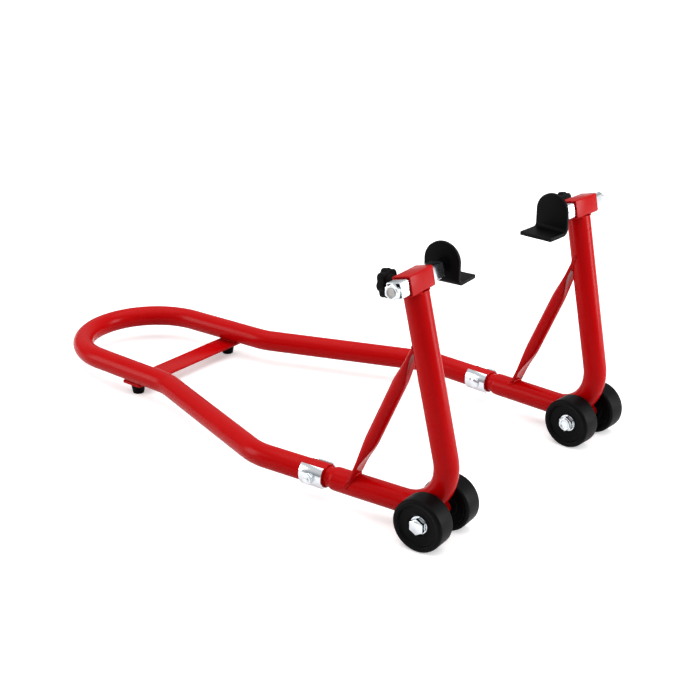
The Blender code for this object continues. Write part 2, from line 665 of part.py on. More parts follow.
def build_wheels(name, side):
    """The axle in its sleeve and the wheel on each side of the elbow."""
    centre, outboard = axle_axis(side)
    bore = AXLE_BORE_RADIUS
    start = centre - outboard * AXLE_SLEEVE_LENGTH / 2
    place = frame_of(start, outboard, (0, 0, 1))
    washer(f"axle_sleeve_{name}", AXLE_SLEEVE_RADIUS, bore, AXLE_SLEEVE_LENGTH, place, RED_PAINT)
    washer_seat = WHEEL_OUTER_FACE - WHEEL_HUB_DEPTH + TOUCH_GAP
    head_seat = washer_seat + WASHER_THICKNESS + TOUCH_GAP
    for face, direction in (("outer", outboard), ("inner", -outboard)):
        middle = centre + direction * (WHEEL_INNER_FACE + WHEEL_WIDTH / 2)
        axis = joint_axis(f"wheel_axis_{face}_{name}", middle, outboard * side)
        place = frame_of(middle, direction, (0, 0, 1))
        wheel = turned(f"wheel_{face}_{name}", wheel_profile(), place, BLACK_PLASTIC, 26, closed=True)
        bpy.context.view_layer.update()
        hold(wheel, axis)
        place = frame_of(centre + direction * washer_seat, direction, (0, 0, 1))
        washer(f"axle_washer_{face}_{name}", WASHER_RADIUS, bore, WASHER_THICKNESS, place, ZINC)

    tip = centre - outboard * (head_seat + AXLE_NUT_HEIGHT - AXLE_TIP)
    shank_end = centre + outboard * (head_seat + CUT_PAST)
    bolt = rod(f"axle_bolt_{name}", AXLE_RADIUS, tip, shank_end, ZINC, parts)
    head_centre = centre + outboard * (head_seat + AXLE_HEAD_HEIGHT / 2)
    place = frame_of(head_centre, outboard, (0, 0, 1))
    head = plate(f"axle_head_{name}", [hexagon(AXLE_HEAD_ACROSS)], AXLE_HEAD_HEIGHT, place, ZINC)
    combine(bolt, head, "UNION")
    sizes = (AXLE_HEAD_ACROSS, AXLE_NUT_HEIGHT, AXLE_NUT_HEX_HEIGHT, AXLE_NUT_COLLAR_RADIUS)
    lock_nut(f"axle_nut_{name}", centre - outboard * head_seat, -outboard, sizes, bore)


def lock_nut(name, seat, direction, sizes, bore):
    """A hexagon with a round collar for its locking ring, standing on seat along direction.

    sizes: across flats, whole height, height of the hexagon and radius of the collar.
    """
    across, height, hex_height, collar = sizes
    matrix = frame_of(seat + direction * hex_height / 2, direction, (0, 0, 1))
    body = plate(name, [hexagon(across), circle_points(bore)], hex_height, matrix, ZINC)
    overlap = hex_height / 4
    rise = height - hex_height + overlap
    inner = bore * 1.002
    profile = [
        (inner, rise),
        (collar - NUT_CHAMFER, rise),
        (collar, rise - NUT_CHAMFER),
        (collar, 0),
        (inner, 0),
    ]
    place = frame_of(seat + direction * (hex_height - overlap), direction, (0, 0, 1))
    ring = turned(f"{name}_collar", profile, place, ZINC, closed=True)
    return combine(body, ring, "UNION")


# ---------------------------------------------------------------- head: socket, slide, paddle, knob


def head_frame(side):
    """The slide's axis point over the upright, the outboard direction and the socket's own up."""
    along, outboard = arm_frame(side)
    centre = mirrored(HEAD_CENTRE, side) + outboard * SOCKET_OFFSET - along * SOCKET_AHEAD
    up = along * math.sin(UPRIGHT_LEAN) + Vector((0, 0, math.cos(UPRIGHT_LEAN)))
    return centre, outboard, up


def knob_frame(side):
    """Where the stud's axis meets the slide's axis, and the stud's direction, out of the socket."""
    centre, outboard, up = head_frame(side)
    return centre + outboard * KNOB_OFFSET, side * up.cross(outboard)


def square_tube(name, sizes, centre, side, finish):
    """A square tube with rounded corners across the stand; sizes: across, wall and length."""
    size, wall, length = sizes
    _, outboard, up = head_frame(side)
    matrix = frame_of(centre, outboard, up)
    outer = rounded_rectangle(size, size, CORNER_RADIUS)
    hole = size - 2 * wall
    inner = rounded_rectangle(hole, hole, max(CORNER_RADIUS - wall, CORNER_RADIUS / 4))
    return plate(name, [outer, inner], length, matrix, finish)


def build_socket(name, side):
    centre, _, _ = head_frame(side)
    sizes = (SOCKET_SIZE, SOCKET_WALL, SOCKET_LENGTH)
    socket = square_tube(f"socket_{name}", sizes, centre, side, RED_PAINT)
    origin, out = knob_frame(side)
    radius = STUD_RADIUS + BOLT_CLEARANCE
    ends = (origin + out * SLIDE_SIZE / 2, origin + out * SOCKET_SIZE)
    hole = rod(f"cut_stud_{name}", radius, *ends, steps=16)
    combine(socket, hole, "DIFFERENCE")
    matrix = frame_of(origin + out * (WELD_NUT_SEAT + WELD_NUT_HEIGHT / 2), out, (1, 0, 0))
    outlines = [hexagon(WELD_NUT_ACROSS), circle_points(radius)]
    plate(f"socket_nut_{name}", outlines, WELD_NUT_HEIGHT, matrix, RED_PAINT)


def build_slide(name, side):
    """The square slide tube on its joint axis, with a bush in each end."""
    centre, outboard, up = head_frame(side)
    middle = centre + outboard * (SLIDE_INNER_END + SLIDE_OUTER_END) / 2
    axis = joint_axis(f"slide_axis_{name}", middle, outboard)
    sizes = (SLIDE_SIZE, SLIDE_WALL, SLIDE_LENGTH)
    slide = square_tube(f"slide_tube_{name}", sizes, middle, side, ZINC)
    hold(slide, axis)
    size = SLIDE_SIZE - 2 * SLIDE_WALL - 2 * SLIDE_CLEARANCE
    bore = circle_points(SHAFT_BORE_RADIUS)
    outlines = [rounded_rectangle(size, size, CORNER_RADIUS / 2), bore]
    for face, direction in (("outer", outboard), ("inner", -outboard)):
        inset = BUSH_RECESS + BUSH_LENGTH / 2
        place = frame_of(middle + direction * (SLIDE_LENGTH / 2 - inset), outboard, up)
        bush = plate(f"slide_bush_{face}_{name}", outlines, BUSH_LENGTH, place, BLACK_PLASTIC)
        hold(bush, axis)


def l_section(depth, below, thickness, radius, inner_radius):
    """Side view of an L: (inboard, up) points from the plate's foot, its bend rounded both ways."""
    steps = 4
    points = [(depth, -below)]
    points.append((depth, -below + thickness))
    centre = (thickness + inner_radius, -below + thickness + inner_radius)
    for i in range(steps + 1):
        a = -math.pi / 2 - math.pi / 2 * i / steps
        points.append((centre[0] + inner_radius * math.cos(a), centre[1] + inner_radius * math.sin(a)))
    points.append((thickness, PADDLE_ABOVE_AXIS * 2))
    points.append((0, PADDLE_ABOVE_AXIS * 2))
    centre = (radius, -below + radius)
    for i in range(steps + 1):
        a = math.pi + math.pi / 2 * i / steps
        points.append((centre[0] + radius * math.cos(a), centre[1] + radius * math.sin(a)))
    return points


def arched_outline(width, above, below, steps=16):
    """Front view of the paddle's plate: square foot, half-round top."""
    radius = width / 2
    points = [(radius, -below)]
    for i in range(steps + 1):
        a = math.pi * i / steps
        points.append((radius * math.cos(a), above - radius + radius * math.sin(a)))
    return [*points, (-radius, -below)]


def paddle_solid(name, side, inset, finish, collection=parts):
    """The L of plate and base: its side view run across, kept where the arched front view is."""
    centre, outboard, _ = head_frame(side)
    origin = centre + outboard * (PADDLE_FACE - inset)
    thickness = PADDLE_THICKNESS - 2 * inset
    below = PADDLE_BELOW_AXIS - inset
    inner_radius = PADDLE_BEND_RADIUS - PADDLE_THICKNESS + inset
    depth = PADDLE_DEPTH - 2 * inset
    section = l_section(depth, below, thickness, PADDLE_BEND_RADIUS - inset, inner_radius)
    across = arm_frame(side)[0] * side
    width = PADDLE_WIDTH - 2 * inset
    body = plate(name, [section], width, frame_of(origin, across, -outboard), finish, collection)
    arch = arched_outline(width + TOUCH_GAP, PADDLE_ABOVE_AXIS - inset, below + CUT_PAST)
    reach = PADDLE_DEPTH * 3
    cutter = plate(f"{name}_arch", [arch], reach, frame_of(origin, -outboard, -across), None, cutters)
    combine(body, cutter, "INTERSECT")
    return as_mesh(body, finish)


def build_paddle(name, side, slide_axis):
    """Steel L with its boss and shaft, the cover over it, the collar and the lock nut."""
    centre, outboard, _ = head_frame(side)
    face = centre + outboard * PADDLE_FACE
    axis = joint_axis(f"paddle_axis_{name}", face, outboard * side)
    hold(axis, slide_axis)
    bpy.context.view_layer.update()

    bracket = paddle_solid(f"paddle_bracket_{name}", side, PADDLE_COVER + TOUCH_GAP, STEEL)
    shaft_end = centre + outboard * (SLIDE_OUTER_END + TOUCH_GAP + SHAFT_NUT_HEIGHT + SHAFT_TIP)
    shaft_start = face - outboard * (PADDLE_THICKNESS / 2)
    shaft = rod(f"paddle_shaft_{name}", SHAFT_RADIUS, shaft_start, shaft_end, STEEL, parts)
    bracket = combine(bracket, shaft, "UNION")

    cover = paddle_solid(f"paddle_cover_{name}", side, 0, BLACK_RUBBER)
    boss_end = face + outboard * PADDLE_BOSS_LENGTH
    boss_start = face - outboard * CUT_PAST
    boss = rod(f"paddle_boss_{name}", PADDLE_BOSS_RADIUS, boss_start, boss_end, BLACK_RUBBER, parts)
    cover = combine(cover, boss, "UNION")
    hollow = paddle_solid(f"cut_paddle_{name}", side, PADDLE_COVER, None, cutters)
    combine(cover, hollow, "DIFFERENCE")
    bore = SHAFT_BORE_RADIUS
    bore_start = face - outboard * (PADDLE_THICKNESS / 2)
    cutter = rod(f"cut_boss_{name}", bore, bore_start, boss_end + outboard * CUT_PAST)
    combine(cover, cutter, "DIFFERENCE")

    place = frame_of(boss_end + outboard * TOUCH_GAP, outboard, (0, 0, 1))
    collar = washer(f"shaft_collar_{name}", COLLAR_RADIUS, bore, COLLAR_LENGTH, place, ZINC)
    seat = centre + outboard * (SLIDE_OUTER_END + TOUCH_GAP)
    sizes = (SHAFT_NUT_ACROSS, SHAFT_NUT_HEIGHT, SHAFT_NUT_HEX_HEIGHT, SHAFT_NUT_COLLAR_RADIUS)
    nut = lock_nut(f"shaft_nut_{name}", seat, outboard, sizes, bore)
    bpy.context.view_layer.update()
    for piece in (bracket, cover, collar, nut):
        hold(piece, axis)


def build_knob(name, side):
    """A star knob on a threaded stud that presses on the slide tube."""
    origin, out = knob_frame(side)
    stud_axis = joint_axis(f"stud_axis_{name}", origin, out)
    knob_axis = joint_axis(f"knob_axis_{name}", origin + out * KNOB_STANDOFF, out)
    hold(knob_axis, stud_axis)

    count = KNOB_LOBES * 8
    outline = []
    for i in range(count):
        a = 2 * math.pi * i / count
        r = KNOB_RADIUS - KNOB_LOBE_DEPTH * (0.5 - 0.5 * math.cos(KNOB_LOBES * a))
        outline.append((r * math.cos(a), r * math.sin(a)))
    middle = origin + out * (KNOB_STANDOFF + KNOB_THICKNESS / 2)
    place = frame_of(middle, out, (1, 0, 0))
    knob = plate(f"star_knob_{name}", [outline], KNOB_THICKNESS, place, BLACK_PLASTIC)
    start = origin + out * (KNOB_STANDOFF - KNOB_HUB_LENGTH)
    hub = rod(f"knob_hub_{name}", KNOB_HUB_RADIUS, start, middle, BLACK_PLASTIC, parts)
    knob = combine(knob, hub, "UNION")
    tip = origin + out * (SLIDE_SIZE / 2 + TOUCH_GAP)
    end = origin + out * (KNOB_STANDOFF + STUD_IN_KNOB)
    bore = STUD_RADIUS + BOLT_CLEARANCE
    blind = rod(f"cut_knob_{name}", bore, start - out * CUT_PAST, end + out * TOUCH_GAP, steps=16)
    combine(knob, blind, "DIFFERENCE")
    stud = rod(f"knob_stud_{name}", STUD_RADIUS, tip, end, ZINC, parts, 16)
    bpy.context.view_layer.update()
    hold(knob, knob_axis)
    hold(stud, stud_axis)


# ---------------------------------------------------------------- assembly


def main():
    build_handle()
    build_strap()
    build_feet()
    for name, side in SIDES:
        build_arm(name, side)
        build_clamp(name, side)
        build_brace(name, side)
        build_wheels(name, side)
        build_socket(name, side)
        build_slide(name, side)
        build_paddle(name, side, bpy.data.objects[f"slide_axis_{name}"])
        build_knob(name, side)
    for obj in parts.objects:
        if obj.type == "MESH":
            obj.data.shade_smooth()
            obj.data.set_sharp_from_angle(angle=math.radians(40))


main()
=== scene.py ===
"""Looks of a motorcycle paddock stand: painted tubes, plated fittings, paddles, knobs and wheels.

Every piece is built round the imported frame, in metres, +Z up, +Y from the wheels to the handle's loop.
Places come from the frame's joints and boxes, and a few driving dimensions give the rest.
"""

import json
import math

import bmesh
import bpy
from mathutils import Matrix, Vector

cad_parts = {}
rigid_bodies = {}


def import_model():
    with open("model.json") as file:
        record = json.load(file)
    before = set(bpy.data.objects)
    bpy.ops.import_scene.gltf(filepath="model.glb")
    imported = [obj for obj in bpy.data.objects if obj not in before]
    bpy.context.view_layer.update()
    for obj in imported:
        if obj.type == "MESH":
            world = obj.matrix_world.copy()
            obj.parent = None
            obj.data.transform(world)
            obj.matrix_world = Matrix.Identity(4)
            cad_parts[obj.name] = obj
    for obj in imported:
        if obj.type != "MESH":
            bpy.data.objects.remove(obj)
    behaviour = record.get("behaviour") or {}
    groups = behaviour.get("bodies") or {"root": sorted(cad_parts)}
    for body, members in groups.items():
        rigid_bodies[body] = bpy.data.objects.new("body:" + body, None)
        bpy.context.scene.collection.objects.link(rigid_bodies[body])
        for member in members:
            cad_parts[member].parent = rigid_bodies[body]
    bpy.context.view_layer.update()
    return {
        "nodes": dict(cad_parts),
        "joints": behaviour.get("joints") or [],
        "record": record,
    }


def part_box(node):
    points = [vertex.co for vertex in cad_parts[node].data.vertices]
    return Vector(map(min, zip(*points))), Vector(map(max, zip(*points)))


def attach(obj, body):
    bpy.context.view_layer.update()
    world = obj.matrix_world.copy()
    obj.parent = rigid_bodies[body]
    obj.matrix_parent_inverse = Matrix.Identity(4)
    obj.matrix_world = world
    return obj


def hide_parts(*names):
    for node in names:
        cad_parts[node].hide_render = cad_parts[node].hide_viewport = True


for startup_object in list(bpy.data.objects):
    bpy.data.objects.remove(startup_object)
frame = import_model()

# ---- driving dimensions

SIDES = (("left", -1), ("right", 1))
UP = Vector((0, 0, 1))
GAP = 0.0003

TUBE_RADIUS = 0.016
TUBE_WALL = 0.002
TUBE_HEIGHT = 0.0364
TUBE_RIM_EASE = 0.0005
NECK_RADIUS = 0.0136

ELBOW_INBOARD = 0.0017  # the elbow's corner, from the axle's middle
ELBOW_AHEAD = 0.0272
ELBOW_RADIUS = 0.061
UPRIGHT_LEAN = math.radians(11.97)
UPRIGHT_SPLAY = math.radians(1.83)
ARM_REACH = 0.1896
NECK_GAP = 0.008
SHOULDER_LENGTH = 0.007
SPIGOT_DEPTH = 0.048

HANDLE_OUTER_BEND = 0.2786
HANDLE_INNER_HALF_WIDTH = 0.1094
HANDLE_INNER_BEND = 0.5338
HANDLE_LOOP_RADIUS = 0.1042
HANDLE_REACH = 0.785
HANDLE_BEND_RADIUS = 0.09

BEAD_LEAST = 0.88  # a weld's thickness between its ripples, as a share
BEAD_SWELL = 0.14
BEAD_RIPPLE_POINTS = 4
SOCKET_WELD_RADIUS = 0.0013
SOCKET_WELD_SINK = 0.0002
SOCKET_WELD_SLOPE = 0.35  # how fast it drops where the upright passes the socket's faces
SOCKET_WELD_SPREAD = 1.02
BRACE_WELD_RADIUS = 0.0013
NUT_WELD_RADIUS = 0.0011
NUT_WELD_RING = 0.0072
NUT_WELD_LIFT = 0.0004

STRAP_CORNER_RADIUS = 0.003
STRAP_EDGE_EASE = 0.0006
STRAP_WELD_RADIUS = 0.0014
STRAP_WELD_OFFSET = 0.0052  # from the tube's axis
STRAP_WELD_LIFT = 0.0009
STRAP_WELD_STEPS = 24

FOOT_TAPER = 0.77  # the sole's radius, as a share of the top's
FOOT_DRAFT = 0.0003
FOOT_BAND = 0.0025
FOOT_SOLE_EDGE = 0.001
FOOT_SOLE_RISE = 0.0002
FOOT_BORE_RADIUS = 0.0025
FOOT_RECESS_RADIUS = 0.0048
FOOT_RECESS_DEPTH = 0.007
FOOT_EASE = 0.0006

CLAMP_LENGTH = 0.035
CLAMP_THICKNESS = 0.0025
CLAMP_HALF_ANGLE = math.radians(54)
CLAMP_EDGE_EASE = 0.0005
CLAMP_BOLT_RADIUS = 0.004
CLAMP_BOLT_REACH = 0.0085  # its tip, past the plate that the nut sits on
CLAMP_BOLT_CHAMFER = 0.0008
CLAMP_HEAD_RADIUS = 0.0083
CLAMP_HEAD_RISE = 0.0042
CLAMP_HEAD_RIM = 0.001
CLAMP_NUT_ACROSS = 0.013
CLAMP_NUT_HEIGHT = 0.0065

BRACE_RADIUS = 0.0095
BRACE_WALL = 0.0015
BRACE_FLAT = 0.0046
BRACE_DISH = 0.28  # how far the pressed faces sink between their lips, as a share
BRACE_FLAT_LENGTH = 0.016
BRACE_TAPER_LENGTH = 0.052
BRACE_FOOT_REACH = 0.1532
BRACE_TOP_REACH = 0.2368
BRACE_SKEW = 0.003

WHEEL_RADIUS = 0.035
WHEEL_WIDTH = 0.0305
WHEEL_EDGE_RADIUS = 0.0042
WHEEL_BORE_RADIUS = 0.0064
WHEEL_HUB_RADIUS = 0.0125
WHEEL_HUB_DEPTH = 0.008
WHEEL_HUB_RIM = ((0.0008, 0.0036), (0.0030, 0.0034), (0.0038, 0.0044))  # past the hub, below the side
WHEEL_WEB_EDGE = (0.74, 0.0040)  # share of the radius, below the side
WHEEL_RIM_EDGE = (0.79, 0.0004)
WHEEL_RIM_LAND = 0.0046
WHEEL_FACE_EASE = 0.0009
PARTING_WIDTHS = (0.00045, 0.0003)
PARTING_DEPTH = 0.0001

WASHER_RADIUS = 0.012
WASHER_THICKNESS = 0.0016
WASHER_EASE = 0.0003
AXLE_RADIUS = 0.006
AXLE_HEAD_HEIGHT = 0.0071
AXLE_BOSS = ((0, 0.0003), (0.0078, 0.0003), (0.0082, 0), (0, -0.0004))  # raised round on the head
AXLE_BOSS_SINK = 0.0001
AXLE_TIP_REACH = 0.0066
AXLE_TIP_CHAMFER = 0.001
AXLE_NUT = (0.019, 0.0078, 0.0062, 0.0088)  # across flats, height, hexagon's height, collar's radius
SLEEVE_LENGTH = 0.034
SLEEVE_RADIUS = 0.0105
SLEEVE_EASE = 0.0004
PROFILE_CLOSE = 0.0001  # a closed section's last point stops this short of its first
NUT_CORNER_EASE = 0.02  # shares of a nut's width
NUT_FACE_EASE = 0.055
NUT_COLLAR_EASE = 0.0006
NUT_COLLAR_BORE = 0.8  # how far up the bore runs straight, as a share
NUT_COLLAR_TAPER = 0.0004
NUT_COLLAR_SINK = 0.0003

SOCKET_SIZE = 0.025
SOCKET_WALL = 0.002
SOCKET_LENGTH = 0.0498
SOCKET_NUT_ACROSS = 0.013
SOCKET_NUT_HEIGHT = 0.0077
SLIDE_SIZE = 0.020
SLIDE_WALL = 0.0015
SLIDE_LENGTH = 0.084
SLIDE_SKIRT = 0.009  # its inner end, drawn over the collar
SLIDE_OUTER_END = 0.0421
CORNER_RADIUS = 0.0024
SQUARE_RIM_EASE = 0.0004

PADDLE_WIDTH = 0.049
PADDLE_DEPTH = 0.041
PADDLE_ABOVE_AXIS = 0.0316
PADDLE_BELOW_AXIS = 0.0218
PADDLE_BEND_RADIUS = 0.010
PADDLE_THICKNESS = 0.0054
PADDLE_EDGE_EASE = 0.0011
PADDLE_COVER = 0.0012
PADDLE_BOSS_LENGTH = 0.009
PADDLE_BOSS_RADIUS = 0.0095
PADDLE_BOSS_BORE = 0.0063
PADDLE_BOSS_FOOT = ((0.0095, 0.0006), (0.0103, -0.0004))  # radius and height where it meets the plate
PADDLE_BOSS_SINK = 0.001
PADDLE_BOSS_EASE = 0.0007
SHAFT_RADIUS = 0.006
SHAFT_TIP_REACH = 0.0082
SHAFT_TIP_DISH = 0.0008
SHAFT_DISH_RADII = (0.0042, 0.0046)
SHAFT_TIP_CHAMFER = (0.0007, 0.0009)
SHAFT_ROOT = 0.0024  # how far it reaches into the plate
SHAFT_THREAD_TURNS = 10
SHAFT_NUT = (0.018, 0.0072, 0.0062, 0.0087)
COLLAR_LENGTH = 0.010
COLLAR_EASE = 0.0006
THREAD_PITCH = 0.00125
THREAD_DEPTH = 0.0006
THREAD_START = 0.001

KNOB_RADIUS = 0.0184
KNOB_LOBES = 8
KNOB_LOBE_DEPTH = 0.0022
KNOB_LOBE_WAIST = 1.7  # above 1, the lobes are fuller than the hollows between them
KNOB_THICKNESS = 0.010
KNOB_EDGE_EASE = 0.0013
KNOB_STANDOFF = 0.0264
KNOB_HUB = ((0.0043, -0.0045), (0.0078, -0.0045), (0.0085, -0.0008), (0.0112, 0.0001))
KNOB_HUB_EASE = 0.001
KNOB_CAP = ((0.0092, -0.0003), (0.0098, 0.0002), (0.0122, 0.0002), (0.0128, -0.0003))
STUD_RADIUS = 0.004
STUD_IN_KNOB = 0.0075
STUD_EASE = (0.0002, 0.0003)
STUD_THREAD_START = 0.0005
STUD_DOG_RADII = (0.0036, 0.003)  # its plain end that presses on the slide
STUD_DOG_EASE = 0.0006

CAMERA_LENS = 74.27
CAMERA_SENSOR = 36
CAMERA_REACH = 50
CAMERA_HEADING = math.radians(-52.067)
CAMERA_DROP = math.radians(22.386)
CAMERA_ROLL = math.radians(0.105)
CAMERA_PLACE = (-1.484069, -1.260893, 0.895311)
FLOOR_SIZE = 14
FLOOR_SEEN = 0.96
FLOOR_LIT = 0.6
FLOOR_GLOW = 0.3
WORLD_LOW = 0.26
WORLD_HIGH = 0.75
WORLD_RISE = (0.05, 0.55)
OVERHEAD_POWER = 1.7
OVERHEAD_SPREAD = math.radians(70)
SIDE_LIGHT_SIZE = (1.0, 1.6)
SIDE_LIGHTS = (
    ("left", (-1.9, 2.0, 0.9), (0, 0, 0.15), 32),
    ("right", (1.5, -2.4, 0.9), (0, 0, 0.2), 56),
)

MOTTLE_SPREAD = (0.3, 0.7)
RIDGE_SPREAD = (0.53, 0.62)
SLAB_RIM_ANGLE = math.radians(50)

# ---- shared effects


def new_group(name, inputs, outputs):
    """An empty shader group, its sockets and the nodes that carry them."""
    group = bpy.data.node_groups.new(name, "ShaderNodeTree")
    for label, value in inputs.items():
        socket = group.interface.new_socket(label, in_out="INPUT", socket_type="NodeSocketFloat")
        socket.default_value = value
    for label in outputs:
        group.interface.new_socket(label, in_out="OUTPUT", socket_type="NodeSocketFloat")
    entry = group.nodes.new("NodeGroupInput")
    leave = group.nodes.new("NodeGroupOutput")
    return group, entry, leave


def noise_node(group, entry, scale_label, detail):
    """A noise over the object's own coordinates, scaled by the group's input."""
    place = group.nodes.new("ShaderNodeTexCoord")
    noise = group.nodes.new("ShaderNodeTexNoise")
    noise.inputs["Detail"].default_value = detail
    group.links.new(place.outputs["Object"], noise.inputs["Vector"])
    group.links.new(entry.outputs[scale_label], noise.inputs["Scale"])
    return noise


def range_node(nodes, ends):
    """A map range whose input runs between two ends."""
    node = nodes.new("ShaderNodeMapRange")
    node.inputs["From Min"].default_value = ends[0]
    node.inputs["From Max"].default_value = ends[1]
    return node


def product_node(nodes):
    """A math node that multiplies."""
    node = nodes.new("ShaderNodeMath")
    node.operation = "MULTIPLY"
    return node


def build_skin_group():
    """Fine relief and slow mottling, for paint, plate, rubber and plastic."""
    inputs = {"Grain Scale": 900.0, "Mottle Scale": 30.0, "Roughness Low": 0.3, "Roughness High": 0.4}
    group, entry, leave = new_group("skin", inputs, ("Height", "Mottle", "Roughness"))
    grain = noise_node(group, entry, "Grain Scale", 2.0)
    mottle = noise_node(group, entry, "Mottle Scale", 4.0)
    spread = range_node(group.nodes, MOTTLE_SPREAD)
    group.links.new(mottle.outputs["Fac"], spread.inputs["Value"])
    group.links.new(entry.outputs["Roughness Low"], spread.inputs["To Min"])
    group.links.new(entry.outputs["Roughness High"], spread.inputs["To Max"])
    group.links.new(grain.outputs["Fac"], leave.inputs["Height"])
    group.links.new(mottle.outputs["Fac"], leave.inputs["Mottle"])
    group.links.new(spread.outputs["Result"], leave.inputs["Roughness"])
    return group


def build_wear_and_highlight_group():
    """A mask that is bright where a surface turns sharply outwards, broken up by noise: it lightens edges
    partly as wear and partly as a painted highlight.
    """
    inputs = {"Break Scale": 260.0, "Amount": 0.5}
    group, entry, leave = new_group("edge_wear_and_highlight", inputs, ("Mask",))
    geometry = group.nodes.new("ShaderNodeNewGeometry")
    ridge = range_node(group.nodes, RIDGE_SPREAD)
    breakup = noise_node(group, entry, "Break Scale", 3.0)
    broken = product_node(group.nodes)
    scaled = product_node(group.nodes)
    group.links.new(geometry.outputs["Pointiness"], ridge.inputs["Value"])
    group.links.new(ridge.outputs["Result"], broken.inputs[0])
    group.links.new(breakup.outputs["Fac"], broken.inputs[1])
    group.links.new(broken.outputs["Value"], scaled.inputs[0])
    group.links.new(entry.outputs["Amount"], scaled.inputs[1])
    group.links.new(scaled.outputs["Value"], leave.inputs["Mask"])
    return group


SKIN = build_skin_group()
# The edge mask: it lightens sharp edges, partly as wear and partly as a painted highlight.
WEAR_AND_HIGHLIGHT = build_wear_and_highlight_group()


def group_node(nodes, group, values):
    """A shader group's node with its inputs set."""
    node = nodes.new("ShaderNodeGroup")
    node.node_tree = group
    for label, value in values.items():
        node.inputs[label].default_value = value
    return node


def finish_material(name, colours, worn_and_highlit, skin, wear_and_highlight_mask, relief, constants):
    """A Principled material whose colour mottles between two tones and lightens on sharp outward edges,
    partly as wear and partly as a painted highlight.

    skin: grain and mottle scale, lowest and highest roughness; edge mask (wear and painted highlight): scale
    of the breaks and amount;
    relief: strength and height of the bump, in metres; constants: values on the shader's own sockets.
    """
    made = bpy.data.materials.new(name)
    made.use_nodes = True
    nodes = made.node_tree.nodes
    links = made.node_tree.links
    shader = nodes["Principled BSDF"]
    labels = ("Grain Scale", "Mottle Scale", "Roughness Low", "Roughness High")
    surface = group_node(nodes, SKIN, dict(zip(labels, skin)))
    edges = group_node(nodes, WEAR_AND_HIGHLIGHT, dict(zip(("Break Scale", "Amount"), wear_and_highlight_mask)))
    tone = nodes.new("ShaderNodeMix")
    tone.data_type = "RGBA"
    tone.inputs["A"].default_value = (*colours[0], 1)
    tone.inputs["B"].default_value = (*colours[1], 1)
    links.new(surface.outputs["Mottle"], tone.inputs["Factor"])
    # Lightens the colour on sharp outward edges: partly wear, partly a painted highlight.
    rubbed_and_highlit = nodes.new("ShaderNodeMix")
    rubbed_and_highlit.data_type = "RGBA"
    rubbed_and_highlit.inputs["B"].default_value = (*worn_and_highlit, 1)
    links.new(edges.outputs["Mask"], rubbed_and_highlit.inputs["Factor"])
    links.new(tone.outputs["Result"], rubbed_and_highlit.inputs["A"])
    links.new(rubbed_and_highlit.outputs["Result"], shader.inputs["Base Color"])
    links.new(surface.outputs["Roughness"], shader.inputs["Roughness"])
    bump = nodes.new("ShaderNodeBump")
    bump.inputs["Strength"].default_value = relief[0]
    bump.inputs["Distance"].default_value = relief[1]
    links.new(surface.outputs["Height"], bump.inputs["Height"])
    links.new(bump.outputs["Normal"], shader.inputs["Normal"])
    for label, value in constants.items():
        shader.inputs[label].default_value = value
    return made


# Each finish's second colour is painted on sharp outward edges: partly wear, partly a painted highlight.
FINISHES = {
    "red_paint": finish_material(
        "red_paint",
        colours=((0.39, 0.0004, 0.001), (0.43, 0.001, 0.002)),
        # Lighter red on sharp edges: a painted highlight as much as wear.
        worn_and_highlit=(0.7, 0.05, 0.05),
        skin=(420.0, 14.0, 0.22, 0.28),
        wear_and_highlight_mask=(300.0, 0.2),
        relief=(0.3, 0.0001),
        constants={"Specular IOR Level": 0.07},
    ),
    "zinc_plate": finish_material(
        "zinc_plate",
        colours=((0.66, 0.71, 0.75), (0.74, 0.77, 0.80)),
        worn_and_highlit=(0.9, 0.92, 0.93),
        skin=(700.0, 40.0, 0.12, 0.2),
        wear_and_highlight_mask=(200.0, 0.5),
        relief=(0.08, 0.00005),
        constants={"Metallic": 1.0},
    ),
    "bare_steel": finish_material(
        "bare_steel",
        colours=((0.30, 0.29, 0.28), (0.40, 0.39, 0.38)),
        worn_and_highlit=(0.75, 0.74, 0.72),
        skin=(1200.0, 180.0, 0.28, 0.42),
        wear_and_highlight_mask=(200.0, 0.4),
        relief=(0.4, 0.0001),
        constants={"Metallic": 1.0},
    ),
    "black_rubber": finish_material(
        "black_rubber",
        colours=((0.0014, 0.0014, 0.0016), (0.0026, 0.0026, 0.0029)),
        worn_and_highlit=(0.06, 0.06, 0.062),
        skin=(1500.0, 45.0, 0.36, 0.48),
        wear_and_highlight_mask=(400.0, 0.6),
        relief=(0.2, 0.0001),
        constants={"Specular IOR Level": 0.045},
    ),
    "black_plastic": finish_material(
        "black_plastic",
        colours=((0.0013, 0.0013, 0.0015), (0.0023, 0.0023, 0.0026)),
        worn_and_highlit=(0.05, 0.05, 0.052),
        skin=(1900.0, 55.0, 0.38, 0.5),
        wear_and_highlight_mask=(400.0, 0.5),
        relief=(0.25, 0.0001),
        constants={"Specular IOR Level": 0.06},
    ),
}

# ---- making and placing pieces


def matrix_of(origin, z_axis, x_hint):
    """A place with its Z along z_axis and its X as near x_hint as that allows."""
    z = Vector(z_axis).normalized()
    x = Vector(x_hint)
    x = (x - z * x.dot(z)).normalized()
    y = z.cross(x)
    return Matrix.Translation(origin) @ Matrix((x, y, z)).transposed().to_4x4()


def add_object(name, data):
    """A new object in the scene."""
    made = bpy.data.objects.new(name, data)
    bpy.context.scene.collection.objects.link(made)
    return made


def fit_piece(name, mesh, body, finish, stands_for=(), sharp=math.radians(38)):
    """Puts a finished mesh in the scene, riding on its body and standing for its nodes."""
    mesh.materials.clear()
    mesh.materials.append(FINISHES[finish])
    mesh.shade_smooth()
    mesh.set_sharp_from_angle(angle=sharp)
    piece = add_object(name, mesh)
    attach(piece, body)
    if stands_for:
        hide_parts(*stands_for)
    return piece


